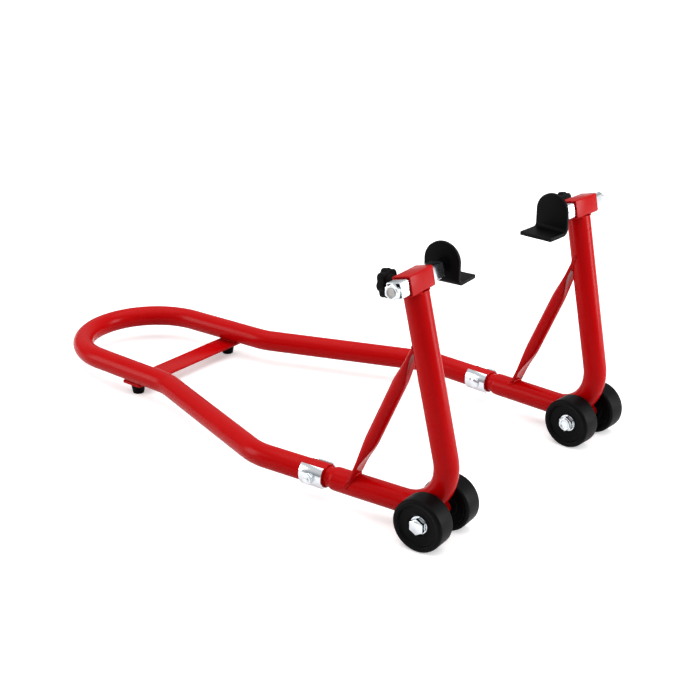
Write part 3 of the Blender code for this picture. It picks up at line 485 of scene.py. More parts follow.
def mesh_from(bm, name):
    """The bmesh as a mesh, with the bmesh freed."""
    mesh = bpy.data.meshes.new(name)
    bm.to_mesh(mesh)
    bm.free()
    return mesh


def add_wall(piece, thickness, even=True):
    """Gives an open shell its wall, inside its surface."""
    wall = piece.modifiers.new("wall", "SOLIDIFY")
    wall.thickness = thickness
    wall.offset = -1
    wall.use_even_offset = even


def soften_edges(piece, width, segments=3, limit=math.radians(40)):
    """Rounds every edge that turns more than the limit."""
    edges = piece.modifiers.new("edges", "BEVEL")
    edges.width = width
    edges.segments = segments
    edges.limit_method = "ANGLE"
    edges.angle_limit = limit
    edges.harden_normals = False


def bent_path(corners, bend_radii, step=math.radians(2.5)):
    """The corners joined by straight lines, each inner corner rounded to its radius."""
    path = [Vector(corners[0])]
    for before, corner, after, radius in zip(corners, corners[1:], corners[2:], bend_radii):
        start = (before - corner).normalized()
        end = (after - corner).normalized()
        half = start.angle(end) / 2
        centre = corner + (start + end).normalized() * radius / math.sin(half)
        first = corner + start * radius / math.tan(half) - centre
        last = corner + end * radius / math.tan(half) - centre
        count = max(3, round(first.angle(last) / step))
        for i in range(count + 1):
            path.append(centre + first.slerp(last, i / count).normalized() * radius)
    return [*path, Vector(corners[-1])]


def tube_mesh(name, path, radius, radii=None, closed=False, capped=False, sides=10):
    """A round tube along a path, made a mesh; radii vary it from point to point."""
    curve = bpy.data.curves.new(name, "CURVE")
    curve.dimensions = "3D"
    curve.bevel_depth = radius
    curve.bevel_resolution = sides
    curve.use_fill_caps = capped
    spline = curve.splines.new("POLY")
    spline.points.add(len(path) - 1)
    spline.use_cyclic_u = closed
    for i, point in enumerate(path):
        spline.points[i].co = (*point, 1)
        if radii:
            spline.points[i].radius = radii[i] / radius
    holder = add_object(name, curve)
    bpy.context.view_layer.update()
    evaluated = holder.evaluated_get(bpy.context.evaluated_depsgraph_get())
    mesh = bpy.data.meshes.new_from_object(evaluated)
    bpy.data.objects.remove(holder)
    bm = bmesh.new()
    bm.from_mesh(mesh)
    bmesh.ops.remove_doubles(bm, verts=bm.verts, dist=1e-6)
    bmesh.ops.recalc_face_normals(bm, faces=bm.faces)
    bm.to_mesh(mesh)
    bm.free()
    return mesh


def turned_mesh(name, profile, matrix, steps=72, closed=False):
    """A profile of (radius, height) points spun round its own axis and put in place."""
    bm = bmesh.new()
    points = [bm.verts.new((r, 0, z)) for r, z in profile]
    pairs = list(zip(points, points[1:]))
    if closed:
        pairs.append((points[-1], points[0]))
    edges = [bm.edges.new(pair) for pair in pairs]
    bmesh.ops.spin(
        bm,
        geom=points + edges,
        cent=(0, 0, 0),
        axis=(0, 0, 1),
        angle=2 * math.pi,
        steps=steps,
        use_merge=True,
    )
    bmesh.ops.remove_doubles(bm, verts=bm.verts, dist=1e-6)
    bmesh.ops.recalc_face_normals(bm, faces=bm.faces)
    bmesh.ops.transform(bm, matrix=matrix, verts=bm.verts)
    return mesh_from(bm, name)


def rounded_profile(points, radius, steps=4):
    """A profile with every inner corner eased by a short curve."""
    eased = [points[0]]
    for before, corner, after in zip(points, points[1:], points[2:]):
        before, corner, after = Vector(before), Vector(corner), Vector(after)
        reach = min(radius, (before - corner).length * 0.45, (after - corner).length * 0.45)
        start = corner + (before - corner).normalized() * reach
        end = corner + (after - corner).normalized() * reach
        for i in range(steps + 1):
            t = i / steps
            eased.append(tuple(start * (1 - t) ** 2 + corner * 2 * t * (1 - t) + end * t * t))
    return [*eased, points[-1]]


def round_edges(bm, edges, width, segments):
    """Rounds these edges of an open bmesh."""
    bmesh.ops.bevel(
        bm, geom=edges, offset=width, segments=segments, profile=0.5, affect="EDGES", material=-1
    )


def slab_bmesh(outline, thickness, edge, segments=3):
    """An outline made a slab centred on its plane, its two rims rounded."""
    bm = bmesh.new()
    face = bm.faces.new([bm.verts.new((x, y, -thickness / 2)) for x, y in outline])
    raised = bmesh.ops.extrude_face_region(bm, geom=[face], use_keep_orig=True)
    top = [v for v in raised["geom"] if isinstance(v, bmesh.types.BMVert)]
    bmesh.ops.translate(bm, vec=(0, 0, thickness), verts=top)
    bmesh.ops.recalc_face_normals(bm, faces=bm.faces)
    if edge:
        rims = [e for e in bm.edges if e.is_manifold and e.calc_face_angle() > SLAB_RIM_ANGLE]
        round_edges(bm, rims, edge, segments)
    return bm


def slab_mesh(name, outline, thickness, edge, matrix, segments=3):
    """A slab made a mesh and put in place."""
    bm = slab_bmesh(outline, thickness, edge, segments)
    bmesh.ops.transform(bm, matrix=matrix, verts=bm.verts)
    return mesh_from(bm, name)


def arc_points(radius, start, end, count, centre=(0, 0)):
    """Points of an arc, from one angle to another."""
    points = []
    for i in range(count + 1):
        a = start + (end - start) * i / count
        points.append((centre[0] + radius * math.cos(a), centre[1] + radius * math.sin(a)))
    return points


def rounded_rectangle(width, height, radius, steps=6):
    """An outline about the origin, its corners rounded."""
    points = []
    for i, (x, y) in enumerate(((1, 1), (-1, 1), (-1, -1), (1, -1))):
        centre = (x * (width / 2 - radius), y * (height / 2 - radius))
        points += arc_points(radius, math.pi / 2 * i, math.pi / 2 * (i + 1), steps, centre)
    return points


def hexagon(across_flats):
    """A nut's outline."""
    return arc_points(across_flats / math.sqrt(3), 0, math.pi * 5 / 3, 5)


def join_meshes(name, meshes):
    """Several meshes as one piece."""
    bm = bmesh.new()
    for mesh in meshes:
        bm.from_mesh(mesh)
        bpy.data.meshes.remove(mesh)
    return mesh_from(bm, name)


def nut_mesh(name, across, height, matrix):
    """A hexagon with its corners turned off at both faces."""
    bm = slab_bmesh(hexagon(across), height, 0)
    vertical = [e for e in bm.edges if abs(e.verts[0].co.z - e.verts[1].co.z) > height / 2]
    round_edges(bm, vertical, across * NUT_CORNER_EASE, 2)
    rims = [e for e in bm.edges if e.calc_face_angle() > math.radians(60)]
    round_edges(bm, rims, across * NUT_FACE_EASE, 3)
    bmesh.ops.transform(bm, matrix=matrix, verts=bm.verts)
    return mesh_from(bm, name)


def ring_profile(bore, radius, height, ease):
    """A washer's or collar's section, its outer rims eased."""
    return [
        (bore, 0),
        (bore, height),
        (radius - ease, height),
        (radius, height - ease),
        (radius, ease),
        (radius - ease, 0),
    ]


def thread_profile(radius, top, turns):
    """The ridges of a thread, down from top."""
    points = []
    for i in range(turns):
        z = top - THREAD_PITCH * i
        points += [(radius, z), (radius - THREAD_DEPTH, z - THREAD_PITCH / 2)]
    return points


def weld_bead(name, points, radius, closed=True):
    """A painted bead along points, swelling and shrinking with each step of the weld."""
    radii = []
    for i in range(len(points)):
        ripple = 0.5 - 0.5 * math.cos(2 * math.pi * i / BEAD_RIPPLE_POINTS)
        radii.append(radius * (BEAD_LEAST + BEAD_SWELL * ripple))
    mesh = tube_mesh(name, points, radius, radii, closed=closed, capped=not closed, sides=3)
    fit_piece(name, mesh, "frame", "red_paint", sharp=math.radians(80))


# ---- places read from the frame

JOINTS = {joint["name"]: joint for joint in frame["joints"]}


def joint_point(name):
    """A point on a joint's axis."""
    return Vector(JOINTS[name]["pos_m"])


def joint_line(name):
    """A joint's direction."""
    return Vector(JOINTS[name]["axis"]).normalized()


def node_middle(name):
    """The middle of a node's box."""
    low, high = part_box(name)
    return (low + high) / 2


def arm_lines(name, side):
    """One arm's own directions: along it to the handle, and outboard."""
    outboard = joint_line(f"slide_{name}_travel")
    return side * UP.cross(outboard), outboard


def axle_middle(name):
    """The middle of a pair of wheels."""
    return (joint_point(f"outer_wheel_{name}_spin") + joint_point(f"inner_wheel_{name}_spin")) / 2


def elbow_corner(name, side):
    """Where the axes of the arm and its upright would meet."""
    axle = axle_middle(name)
    return Vector((axle.x - side * ELBOW_INBOARD, axle.y - ELBOW_AHEAD, TUBE_HEIGHT))


def upright_line(side):
    """The upright's direction, up and away from the wheels."""
    return Vector((side * math.tan(UPRIGHT_SPLAY), math.tan(UPRIGHT_LEAN), 1)).normalized()


def head_lines(name, side):
    """The socket's middle, the outboard direction, the socket's own up and the knob's direction."""
    along, outboard = arm_lines(name, side)
    middle = node_middle(f"slide_tube_{name}") - outboard * (SLIDE_OUTER_END - SLIDE_LENGTH / 2)
    up = along * math.sin(UPRIGHT_LEAN) + UP * math.cos(UPRIGHT_LEAN)
    return middle, outboard, up, joint_line(f"stud_{name}_travel")


# ---- handle, strap and feet


def handle_side(name, side):
    """The handle tube's axis on one side, from its mouth to where the loop starts."""
    along, _ = arm_lines(name, side)
    mouth = elbow_corner(name, side) + along * ARM_REACH
    axle_y = axle_middle(name).y
    outer = mouth + along * ((axle_y + HANDLE_OUTER_BEND - mouth.y) / along.y)
    inner = Vector((side * HANDLE_INNER_HALF_WIDTH, axle_y + HANDLE_INNER_BEND, TUBE_HEIGHT))
    loop_y = axle_y + HANDLE_REACH - HANDLE_LOOP_RADIUS
    loop_start = Vector((side * HANDLE_LOOP_RADIUS, loop_y, TUBE_HEIGHT))
    return bent_path([mouth, outer, inner, loop_start], [HANDLE_BEND_RADIUS] * 2)


def build_handle():
    """The handle as one bent tube, from one open mouth round the loop to the other."""
    right = handle_side("right", 1)
    left = handle_side("left", -1)
    centre_y = right[-1].y
    steps = 72
    loop = []
    for x, y in arc_points(HANDLE_LOOP_RADIUS, 0, math.pi, steps)[1:-1]:
        loop.append(Vector((x, centre_y + y, TUBE_HEIGHT)))
    path = [*right, *loop, *reversed(left)]
    mesh = tube_mesh("handle_shell", path, TUBE_RADIUS)
    handle = fit_piece("handle_shell", mesh, "frame", "red_paint", ["handle_tube"], math.radians(60))
    add_wall(handle, TUBE_WALL)
    soften_edges(handle, TUBE_RIM_EASE, 2)


def build_strap():
    """The flat bar under the handle, with a short weld along each side of each tube."""
    low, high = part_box("cross_strap")
    middle = (low + high) / 2
    size = high - low
    outline = rounded_rectangle(size.x, size.y, STRAP_CORNER_RADIUS, 5)
    mesh = slab_mesh("strap_bar", outline, size.z, STRAP_EDGE_EASE, Matrix.Translation(middle))
    fit_piece("strap_bar", mesh, "frame", "red_paint", ["cross_strap"])
    for name, side in SIDES:
        start, end = handle_side(name, side)[-2:]
        along = (end - start).normalized()
        across = along.cross(UP)
        base = start + along * ((middle.y - start.y) / along.y)
        for edge, offset in (("outer", 1), ("inner", -1)):
            points = []
            for i in range(STRAP_WELD_STEPS + 1):
                step = (i / STRAP_WELD_STEPS - 0.5) * (size.y - 2 * STRAP_CORNER_RADIUS)
                point = base + along * step + across * offset * STRAP_WELD_OFFSET
                points.append(Vector((point.x, point.y, high.z + STRAP_WELD_LIFT)))
            weld_bead(f"strap_weld_{edge}_{name}", points, STRAP_WELD_RADIUS, closed=False)


def build_feet():
    """Tapered rubber feet, each with a counterbore for its screw."""
    for name, _ in SIDES:
        low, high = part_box(f"foot_{name}")
        centre = (low + high) / 2
        top = (high.x - low.x) / 2
        base = top * FOOT_TAPER
        outline = [
            (FOOT_BORE_RADIUS, high.z),
            (top, high.z),
            (top - FOOT_DRAFT, high.z - FOOT_BAND),
            (base, FOOT_SOLE_RISE),
            (base - FOOT_SOLE_EDGE, 0),
            (FOOT_RECESS_RADIUS, 0),
            (FOOT_RECESS_RADIUS, FOOT_RECESS_DEPTH),
            (FOOT_BORE_RADIUS, FOOT_RECESS_DEPTH),
        ]
        place = Matrix.Translation((centre.x, centre.y, 0))
        mesh = turned_mesh("foot", rounded_profile(outline, FOOT_EASE), place, 48, closed=True)
        fit_piece(f"foot_moulding_{name}", mesh, "frame", "black_rubber", [f"foot_{name}"])


# ---- arms, braces and clamps


def build_arm(name, side):
    """Spigot, neck, shoulder, arm, elbow and upright as one tube up to the socket."""
    along, outboard = arm_lines(name, side)
    corner = elbow_corner(name, side)
    upright = upright_line(side)
    centre, _, up, _ = head_lines(name, side)
    below = centre - up * (SOCKET_SIZE / 2 + GAP)
    top = corner + upright * ((below - corner).dot(up) / upright.dot(up))
    steps = 12
    path = [corner + along * (ARM_REACH + SPIGOT_DEPTH)]
    radii = [NECK_RADIUS]
    for i in range(steps + 1):
        a = math.pi / 2 * i / steps
        path.append(corner + along * (ARM_REACH - NECK_GAP - SHOULDER_LENGTH * (1 - math.cos(a))))
        radii.append(NECK_RADIUS + (TUBE_RADIUS - NECK_RADIUS) * math.sin(a))
    bend = bent_path([path[-1], corner, top], [ELBOW_RADIUS])
    path += bend[1:]
    radii += [TUBE_RADIUS] * (len(bend) - 1)
    mesh = tube_mesh("arm", path, TUBE_RADIUS, radii)
    arm = fit_piece(f"arm_shell_{name}", mesh, "frame", "red_paint", [f"arm_tube_{name}"], math.radians(60))
    add_wall(arm, TUBE_WALL)
    soften_edges(arm, TUBE_RIM_EASE, 2)

    ring = []
    count = 96
    reach = SOCKET_SIZE / 2
    forward = up.cross(outboard)
    for x, y in arc_points(TUBE_RADIUS, 0, 2 * math.pi * (count - 1) / count, count - 1):
        ahead = max(-reach, min(reach, y)) * SOCKET_WELD_SPREAD
        drop = max(0.0, abs(y) - reach) * SOCKET_WELD_SLOPE
        ring.append(top + outboard * x + forward * ahead - up * (SOCKET_WELD_SINK + drop))
    weld_bead(f"socket_weld_{name}", ring, SOCKET_WELD_RADIUS)


def brace_section(share, count):
    """Section of the brace: round at 1, pressed flat at 0 with a fuller lip along each edge."""
    half = BRACE_FLAT / 2 + (BRACE_RADIUS - BRACE_FLAT / 2) * share
    straight = math.pi * (BRACE_RADIUS - half) / 2
    arc = math.pi * half
    total = 2 * arc + 4 * straight
    points = []
    for i in range(count):
        s = (i + 0.5) / count * total
        sign = 1
        if s > total / 2:
            s -= total / 2
            sign = -1
        if s < arc:
            a = s / half - math.pi / 2
            x, y = straight + half * math.cos(a), half * math.sin(a)
        else:
            x, y = straight - (s - arc), half
        middle = max(0.0, 1 - (x / (straight + 1e-6)) ** 2) if straight > 0.0005 else 0.0
        points.append((sign * x, sign * y * (1 - BRACE_DISH * middle * (1 - share))))
    return points


def build_brace(name, side):
    """A round tube pressed flat at both ends, its ends cut to sit on the arm and the upright."""
    along, outboard = arm_lines(name, side)
    corner = elbow_corner(name, side)
    upright = upright_line(side)
    foot = corner + along * BRACE_FOOT_REACH + outboard * BRACE_SKEW
    head = corner + upright * BRACE_TOP_REACH - outboard * BRACE_SKEW
    length = (head - foot).length
    place = matrix_of(foot, head - foot, outboard)
    count = 48
    stations = [(0.0, 0.0), (TUBE_RADIUS + BRACE_FLAT_LENGTH / 2, 0.0)]
    steps = 22
    for i in range(steps + 1):
        share = i / steps
        distance = TUBE_RADIUS + BRACE_FLAT_LENGTH + BRACE_TAPER_LENGTH * share
        stations.append((distance, share * share * (3 - 2 * share)))
    stations += [(length - z, share) for z, share in reversed(stations)]
    bm = bmesh.new()
    ring = bmesh.ops.create_circle(bm, segments=count, radius=BRACE_RADIUS)["verts"]
    rings = [ring]
    edges = list({e for v in ring for e in v.link_edges})
    for _ in stations[1:]:
        grown = bmesh.ops.extrude_edge_only(bm, edges=edges)["geom"]
        edges = [e for e in grown if isinstance(e, bmesh.types.BMEdge) and e.is_boundary]
        order = []
        for v in rings[-1]:
            order.append(next(e.other_vert(v) for e in v.link_edges if e.other_vert(v) in grown))
        rings.append(order)
    for ring, (z, share) in zip(rings, stations):
        for v, (x, y) in zip(ring, brace_section(share, count)):
            v.co = (x, y, z)
    bmesh.ops.recalc_face_normals(bm, faces=bm.faces)
    bmesh.ops.transform(bm, matrix=place, verts=bm.verts)
    contacts = []
    seats = ((rings[0], rings[1], corner, along), (rings[-1], rings[-2], corner, upright))
    for ring, neighbours, start, line in seats:
        contact = []
        for v, inner in zip(ring, neighbours):
            run = (v.co - inner.co).normalized()
            offset = inner.co - start
            a = run - line * run.dot(line)
            b = offset - line * offset.dot(line)
            radius = TUBE_RADIUS + GAP
            half_b = a.dot(b)
            spare = half_b * half_b - a.dot(a) * (b.dot(b) - radius * radius)
            travel = (-half_b - math.sqrt(max(spare, 0.0))) / a.dot(a)
            v.co = inner.co + run * travel
            contact.append(v.co.copy())
        contacts.append(contact)
    mesh = mesh_from(bm, "brace")
    brace = fit_piece(f"brace_shell_{name}", mesh, "frame", "red_paint", [f"brace_{name}"], math.radians(50))
    add_wall(brace, BRACE_WALL, even=False)
    for end, contact in zip(("foot", "head"), contacts):
        weld_bead(f"brace_weld_{end}_{name}", contact, BRACE_WELD_RADIUS)


def build_clamp(name, side):
    """The half-shell plates, their bolt with its domed head, and its nut."""
    along, outboard = arm_lines(name, side)
    centre = elbow_corner(name, side) + along * (ARM_REACH + CLAMP_LENGTH / 2)
    inner = TUBE_RADIUS + GAP
    outer = inner + CLAMP_THICKNESS
    outline = arc_points(outer, -CLAMP_HALF_ANGLE, CLAMP_HALF_ANGLE, 36)
    outline += arc_points(inner, CLAMP_HALF_ANGLE, -CLAMP_HALF_ANGLE, 36)
    for face, direction in (("outer", outboard), ("inner", -outboard)):
        place = matrix_of(centre, along, direction)
        node = f"clamp_plate_{face}_{name}"
        mesh = slab_mesh("clamp_plate", outline, CLAMP_LENGTH, CLAMP_EDGE_EASE, place)
        fit_piece(f"clamp_shell_{face}_{name}", mesh, "frame", "zinc_plate", [node])

    seat = outer + GAP
    dome_rise = CLAMP_HEAD_RISE - CLAMP_HEAD_RIM
    profile = [(0, seat + CLAMP_HEAD_RISE)]
    steps = 14
    for i in range(1, steps + 1):
        a = math.pi / 2 * i / steps
        height = seat + CLAMP_HEAD_RIM + dome_rise * math.cos(a)
        profile.append((CLAMP_HEAD_RADIUS * math.sin(a), height))
    tip = seat + CLAMP_BOLT_REACH
    profile += [
        (CLAMP_HEAD_RADIUS, seat),
        (CLAMP_BOLT_RADIUS, seat - CLAMP_HEAD_RIM),
        (CLAMP_BOLT_RADIUS, -tip + CLAMP_BOLT_CHAMFER),
        (CLAMP_BOLT_RADIUS - CLAMP_BOLT_CHAMFER, -tip),
        (0, -tip),
    ]
    mesh = turned_mesh("clamp_bolt", profile, matrix_of(centre, -outboard, UP), 48)
    fit_piece(f"clamp_screw_{name}", mesh, "frame", "zinc_plate", [f"clamp_bolt_{name}"])
    place = matrix_of(centre + outboard * (seat + CLAMP_NUT_HEIGHT / 2), outboard, UP)
    mesh = nut_mesh("clamp_nut", CLAMP_NUT_ACROSS, CLAMP_NUT_HEIGHT, place)
    fit_piece(f"clamp_hexagon_{name}", mesh, "frame", "zinc_plate", [f"clamp_nut_{name}"])


# ---- wheels and axles


def wheel_outline():
    """Half of the wheel's section, down its face and round its tread to the middle."""
    half = WHEEL_WIDTH / 2
    face = [
        (WHEEL_BORE_RADIUS, half - WHEEL_HUB_DEPTH),
        (WHEEL_HUB_RADIUS, half - WHEEL_HUB_DEPTH),
    ]
    for past, below in WHEEL_HUB_RIM:
        face.append((WHEEL_HUB_RADIUS + past, half - below))
    for share, below in (WHEEL_WEB_EDGE, WHEEL_RIM_EDGE):
        face.append((WHEEL_RADIUS * share, half - below))
    face.append((WHEEL_RADIUS - WHEEL_RIM_LAND, half))
    face = rounded_profile(face, WHEEL_FACE_EASE, 3)
    edge = WHEEL_EDGE_RADIUS
    shoulder = arc_points(edge, math.pi / 2, 0, 10, (WHEEL_RADIUS - edge, half - edge))
    return [*face, *shoulder, *[(WHEEL_RADIUS, width) for width in PARTING_WIDTHS]]


def build_wheels(name, side):
    """Both wheels of a pair, with their axle's washers, sleeve, bolt and lock nut."""
    _, outboard = arm_lines(name, side)
    centre = axle_middle(name)
    down = wheel_outline()
    parting = [(WHEEL_RADIUS - PARTING_DEPTH, 0.0)]
    profile = [*down, *parting, *[(r, -z) for r, z in reversed(down)]]
    washer_seat = SLEEVE_LENGTH / 2 + GAP + WHEEL_WIDTH - WHEEL_HUB_DEPTH + GAP
    bore = AXLE_RADIUS + GAP
    washer = ring_profile(bore, WASHER_RADIUS, WASHER_THICKNESS, WASHER_EASE)
    for face, direction in (("outer", outboard), ("inner", -outboard)):
        middle = joint_point(f"{face}_wheel_{name}_spin")
        mesh = turned_mesh("wheel", profile, matrix_of(middle, direction, UP), 112, closed=True)
        body = f"{face}_wheel_{name}"
        fit_piece(f"wheel_moulding_{face}_{name}", mesh, body, "black_plastic", [f"wheel_{face}_{name}"])
        place = matrix_of(centre + direction * washer_seat, direction, UP)
        mesh = turned_mesh("axle_washer", washer, place, 64, closed=True)
        fit_piece(f"axle_ring_{face}_{name}", mesh, "frame", "zinc_plate", [f"axle_washer_{face}_{name}"])

    sleeve = [
        (bore, 0),
        (bore, SLEEVE_LENGTH),
        (SLEEVE_RADIUS, SLEEVE_LENGTH),
        (SLEEVE_RADIUS, 0),
        (bore + PROFILE_CLOSE, 0),
    ]
    place = matrix_of(centre - outboard * SLEEVE_LENGTH / 2, outboard, UP)
    mesh = turned_mesh("axle_sleeve", rounded_profile(sleeve, SLEEVE_EASE), place, 56, closed=True)
    fit_piece(f"axle_tube_{name}", mesh, "frame", "red_paint", [f"axle_sleeve_{name}"])

    seat = washer_seat + WASHER_THICKNESS + GAP
    place = matrix_of(centre + outboard * (seat + AXLE_HEAD_HEIGHT / 2), outboard, UP)
    head = nut_mesh("head", AXLE_NUT[0], AXLE_HEAD_HEIGHT, place)
    place = matrix_of(centre + outboard * (seat + AXLE_HEAD_HEIGHT - AXLE_BOSS_SINK), outboard, UP)
    boss = turned_mesh("boss", AXLE_BOSS, place, 64)
    tip = seat + AXLE_TIP_REACH
    shank = [
        (0, seat),
        (AXLE_RADIUS, seat),
        (AXLE_RADIUS, -tip + AXLE_TIP_CHAMFER),
        (AXLE_RADIUS - AXLE_TIP_CHAMFER, -tip),
        (0, -tip),
    ]
    stem = turned_mesh("stem", shank, matrix_of(centre, outboard, UP), 48)
    mesh = join_meshes("axle_bolt", [head, boss, stem])
    fit_piece(f"axle_screw_{name}", mesh, "frame", "zinc_plate", [f"axle_bolt_{name}"])
    mesh = lock_nut_mesh(centre - outboard * seat, -outboard, AXLE_NUT, bore)
    fit_piece(f"axle_locknut_{name}", mesh, "frame", "zinc_plate", [f"axle_nut_{name}"])


def lock_nut_mesh(seat, direction, sizes, bore):
    """Hexagon and rolled collar; sizes: across flats, whole height, hexagon's height, collar's radius."""
    across, height, hex_height, collar = sizes
    body = nut_mesh("body", across, hex_height, matrix_of(seat + direction * hex_height / 2, direction, UP))
    rise = height - hex_height
    profile = [
        (bore, 0),
        (bore, rise * NUT_COLLAR_BORE),
        (bore + NUT_COLLAR_EASE, rise),
        (collar - NUT_COLLAR_TAPER, rise),
        (collar, -NUT_COLLAR_SINK),
    ]
    place = matrix_of(seat + direction * hex_height, direction, UP)
    ring = turned_mesh("ring", rounded_profile(profile, NUT_COLLAR_EASE), place, 64, closed=True)
    return join_meshes("lock_nut", [body, ring])


# ---- heads: socket, slide, paddle, knob


def square_shell(name, sizes, place, body, finish, node):
    """A square tube, given a wall and soft rims; sizes: across, wall and length."""
    size, wall, length = sizes
    bm = bmesh.new()
    for x, y in rounded_rectangle(size, size, CORNER_RADIUS):
        bm.verts.new((x, y, -length / 2))
    bmesh.ops.remove_doubles(bm, verts=bm.verts, dist=1e-6)
    points = list(bm.verts)
    edges = [bm.edges.new((a, b)) for a, b in zip(points, [*points[1:], points[0]])]
    grown = bmesh.ops.extrude_edge_only(bm, edges=edges)["geom"]
    far = [v for v in grown if isinstance(v, bmesh.types.BMVert)]
    bmesh.ops.translate(bm, vec=(0, 0, length), verts=far)
    bmesh.ops.recalc_face_normals(bm, faces=bm.faces)
    outward = sum(f.normal.dot(Vector((*f.calc_center_median().xy, 0))) for f in bm.faces)
    if outward < 0:
        bmesh.ops.reverse_faces(bm, faces=bm.faces)
    bmesh.ops.transform(bm, matrix=place, verts=bm.verts)
    piece = fit_piece(name, mesh_from(bm, name), body, finish, [node])
    add_wall(piece, wall)
    soften_edges(piece, SQUARE_RIM_EASE)


def build_socket(name, side):
    """The square socket on the upright, with the welded nut that takes the knob's stud."""
    centre, outboard, up, out = head_lines(name, side)
    sizes = (SOCKET_SIZE, SOCKET_WALL, SOCKET_LENGTH)
    place = matrix_of(centre, outboard, up)
    square_shell(f"socket_shell_{name}", sizes, place, "frame", "red_paint", f"socket_{name}")
    knob = joint_point(f"knob_{name}_turn") - out * KNOB_STANDOFF
    start = SOCKET_SIZE / 2 + GAP
    place = matrix_of(knob + out * (start + SOCKET_NUT_HEIGHT / 2), out, outboard)
    mesh = nut_mesh("socket_nut", SOCKET_NUT_ACROSS, SOCKET_NUT_HEIGHT, place)
    fit_piece(f"weld_nut_{name}", mesh, "frame", "red_paint", [f"socket_nut_{name}"])
    ring = []
    count = 40
    for x, y in arc_points(NUT_WELD_RING, 0, 2 * math.pi * (count - 1) / count, count - 1):
        ring.append(knob + out * (start + NUT_WELD_LIFT) + outboard * x + up * y)
    weld_bead(f"nut_weld_{name}", ring, NUT_WELD_RADIUS)


def build_slide(name, side):
    """The square slide, its inner end drawn over the collar up to the paddle's boss."""
    centre, outboard, up, _ = head_lines(name, side)
    length = SLIDE_LENGTH + SLIDE_SKIRT
    place = matrix_of(centre + outboard * (SLIDE_OUTER_END - length / 2), outboard, up)
    sizes = (SLIDE_SIZE, SLIDE_WALL, length)
    body = f"slide_{name}"
    square_shell(f"slide_shell_{name}", sizes, place, body, "zinc_plate", f"slide_tube_{name}")


def bent_plate(name, inset, edge, place):
    """A flat plate with a half-round top and a square foot, bent into an L along its width."""
    thickness = PADDLE_THICKNESS - 2 * inset
    width = PADDLE_WIDTH - 2 * inset
    bend = PADDLE_BEND_RADIUS - PADDLE_THICKNESS / 2
    above = PADDLE_ABOVE_AXIS - inset
    below = PADDLE_BELOW_AXIS - PADDLE_BEND_RADIUS
    base = PADDLE_DEPTH - inset - PADDLE_BEND_RADIUS
    foot = below + bend * math.pi / 2 + base
    outline = [*arc_points(width / 2, 0, math.pi, 48, (0, above - width / 2))]
    outline += [(-width / 2, -foot), (width / 2, -foot)]
    bm = slab_bmesh(outline, thickness, edge)
    cuts = 14
    for i in range(cuts + 1):
        y = -below - bend * math.pi / 2 * i / cuts
        geometry = [*bm.verts, *bm.edges, *bm.faces]
        bmesh.ops.bisect_plane(bm, geom=geometry, plane_co=(0, y, 0), plane_no=(0, 1, 0), dist=1e-7)
    for v in bm.verts:
        run = -below - v.co.y
        if run <= 0:
            continue
        turn = min(run / bend, math.pi / 2)
        beyond = run - turn * bend
        reach = bend + v.co.z
        v.co.y = -below - reach * math.sin(turn)
        v.co.z = -bend + reach * math.cos(turn) - beyond
    bmesh.ops.recalc_face_normals(bm, faces=bm.faces)
    inward = Matrix.Translation((0, 0, -PADDLE_THICKNESS / 2))
    bmesh.ops.transform(bm, matrix=place @ inward, verts=bm.verts)
    return mesh_from(bm, name)


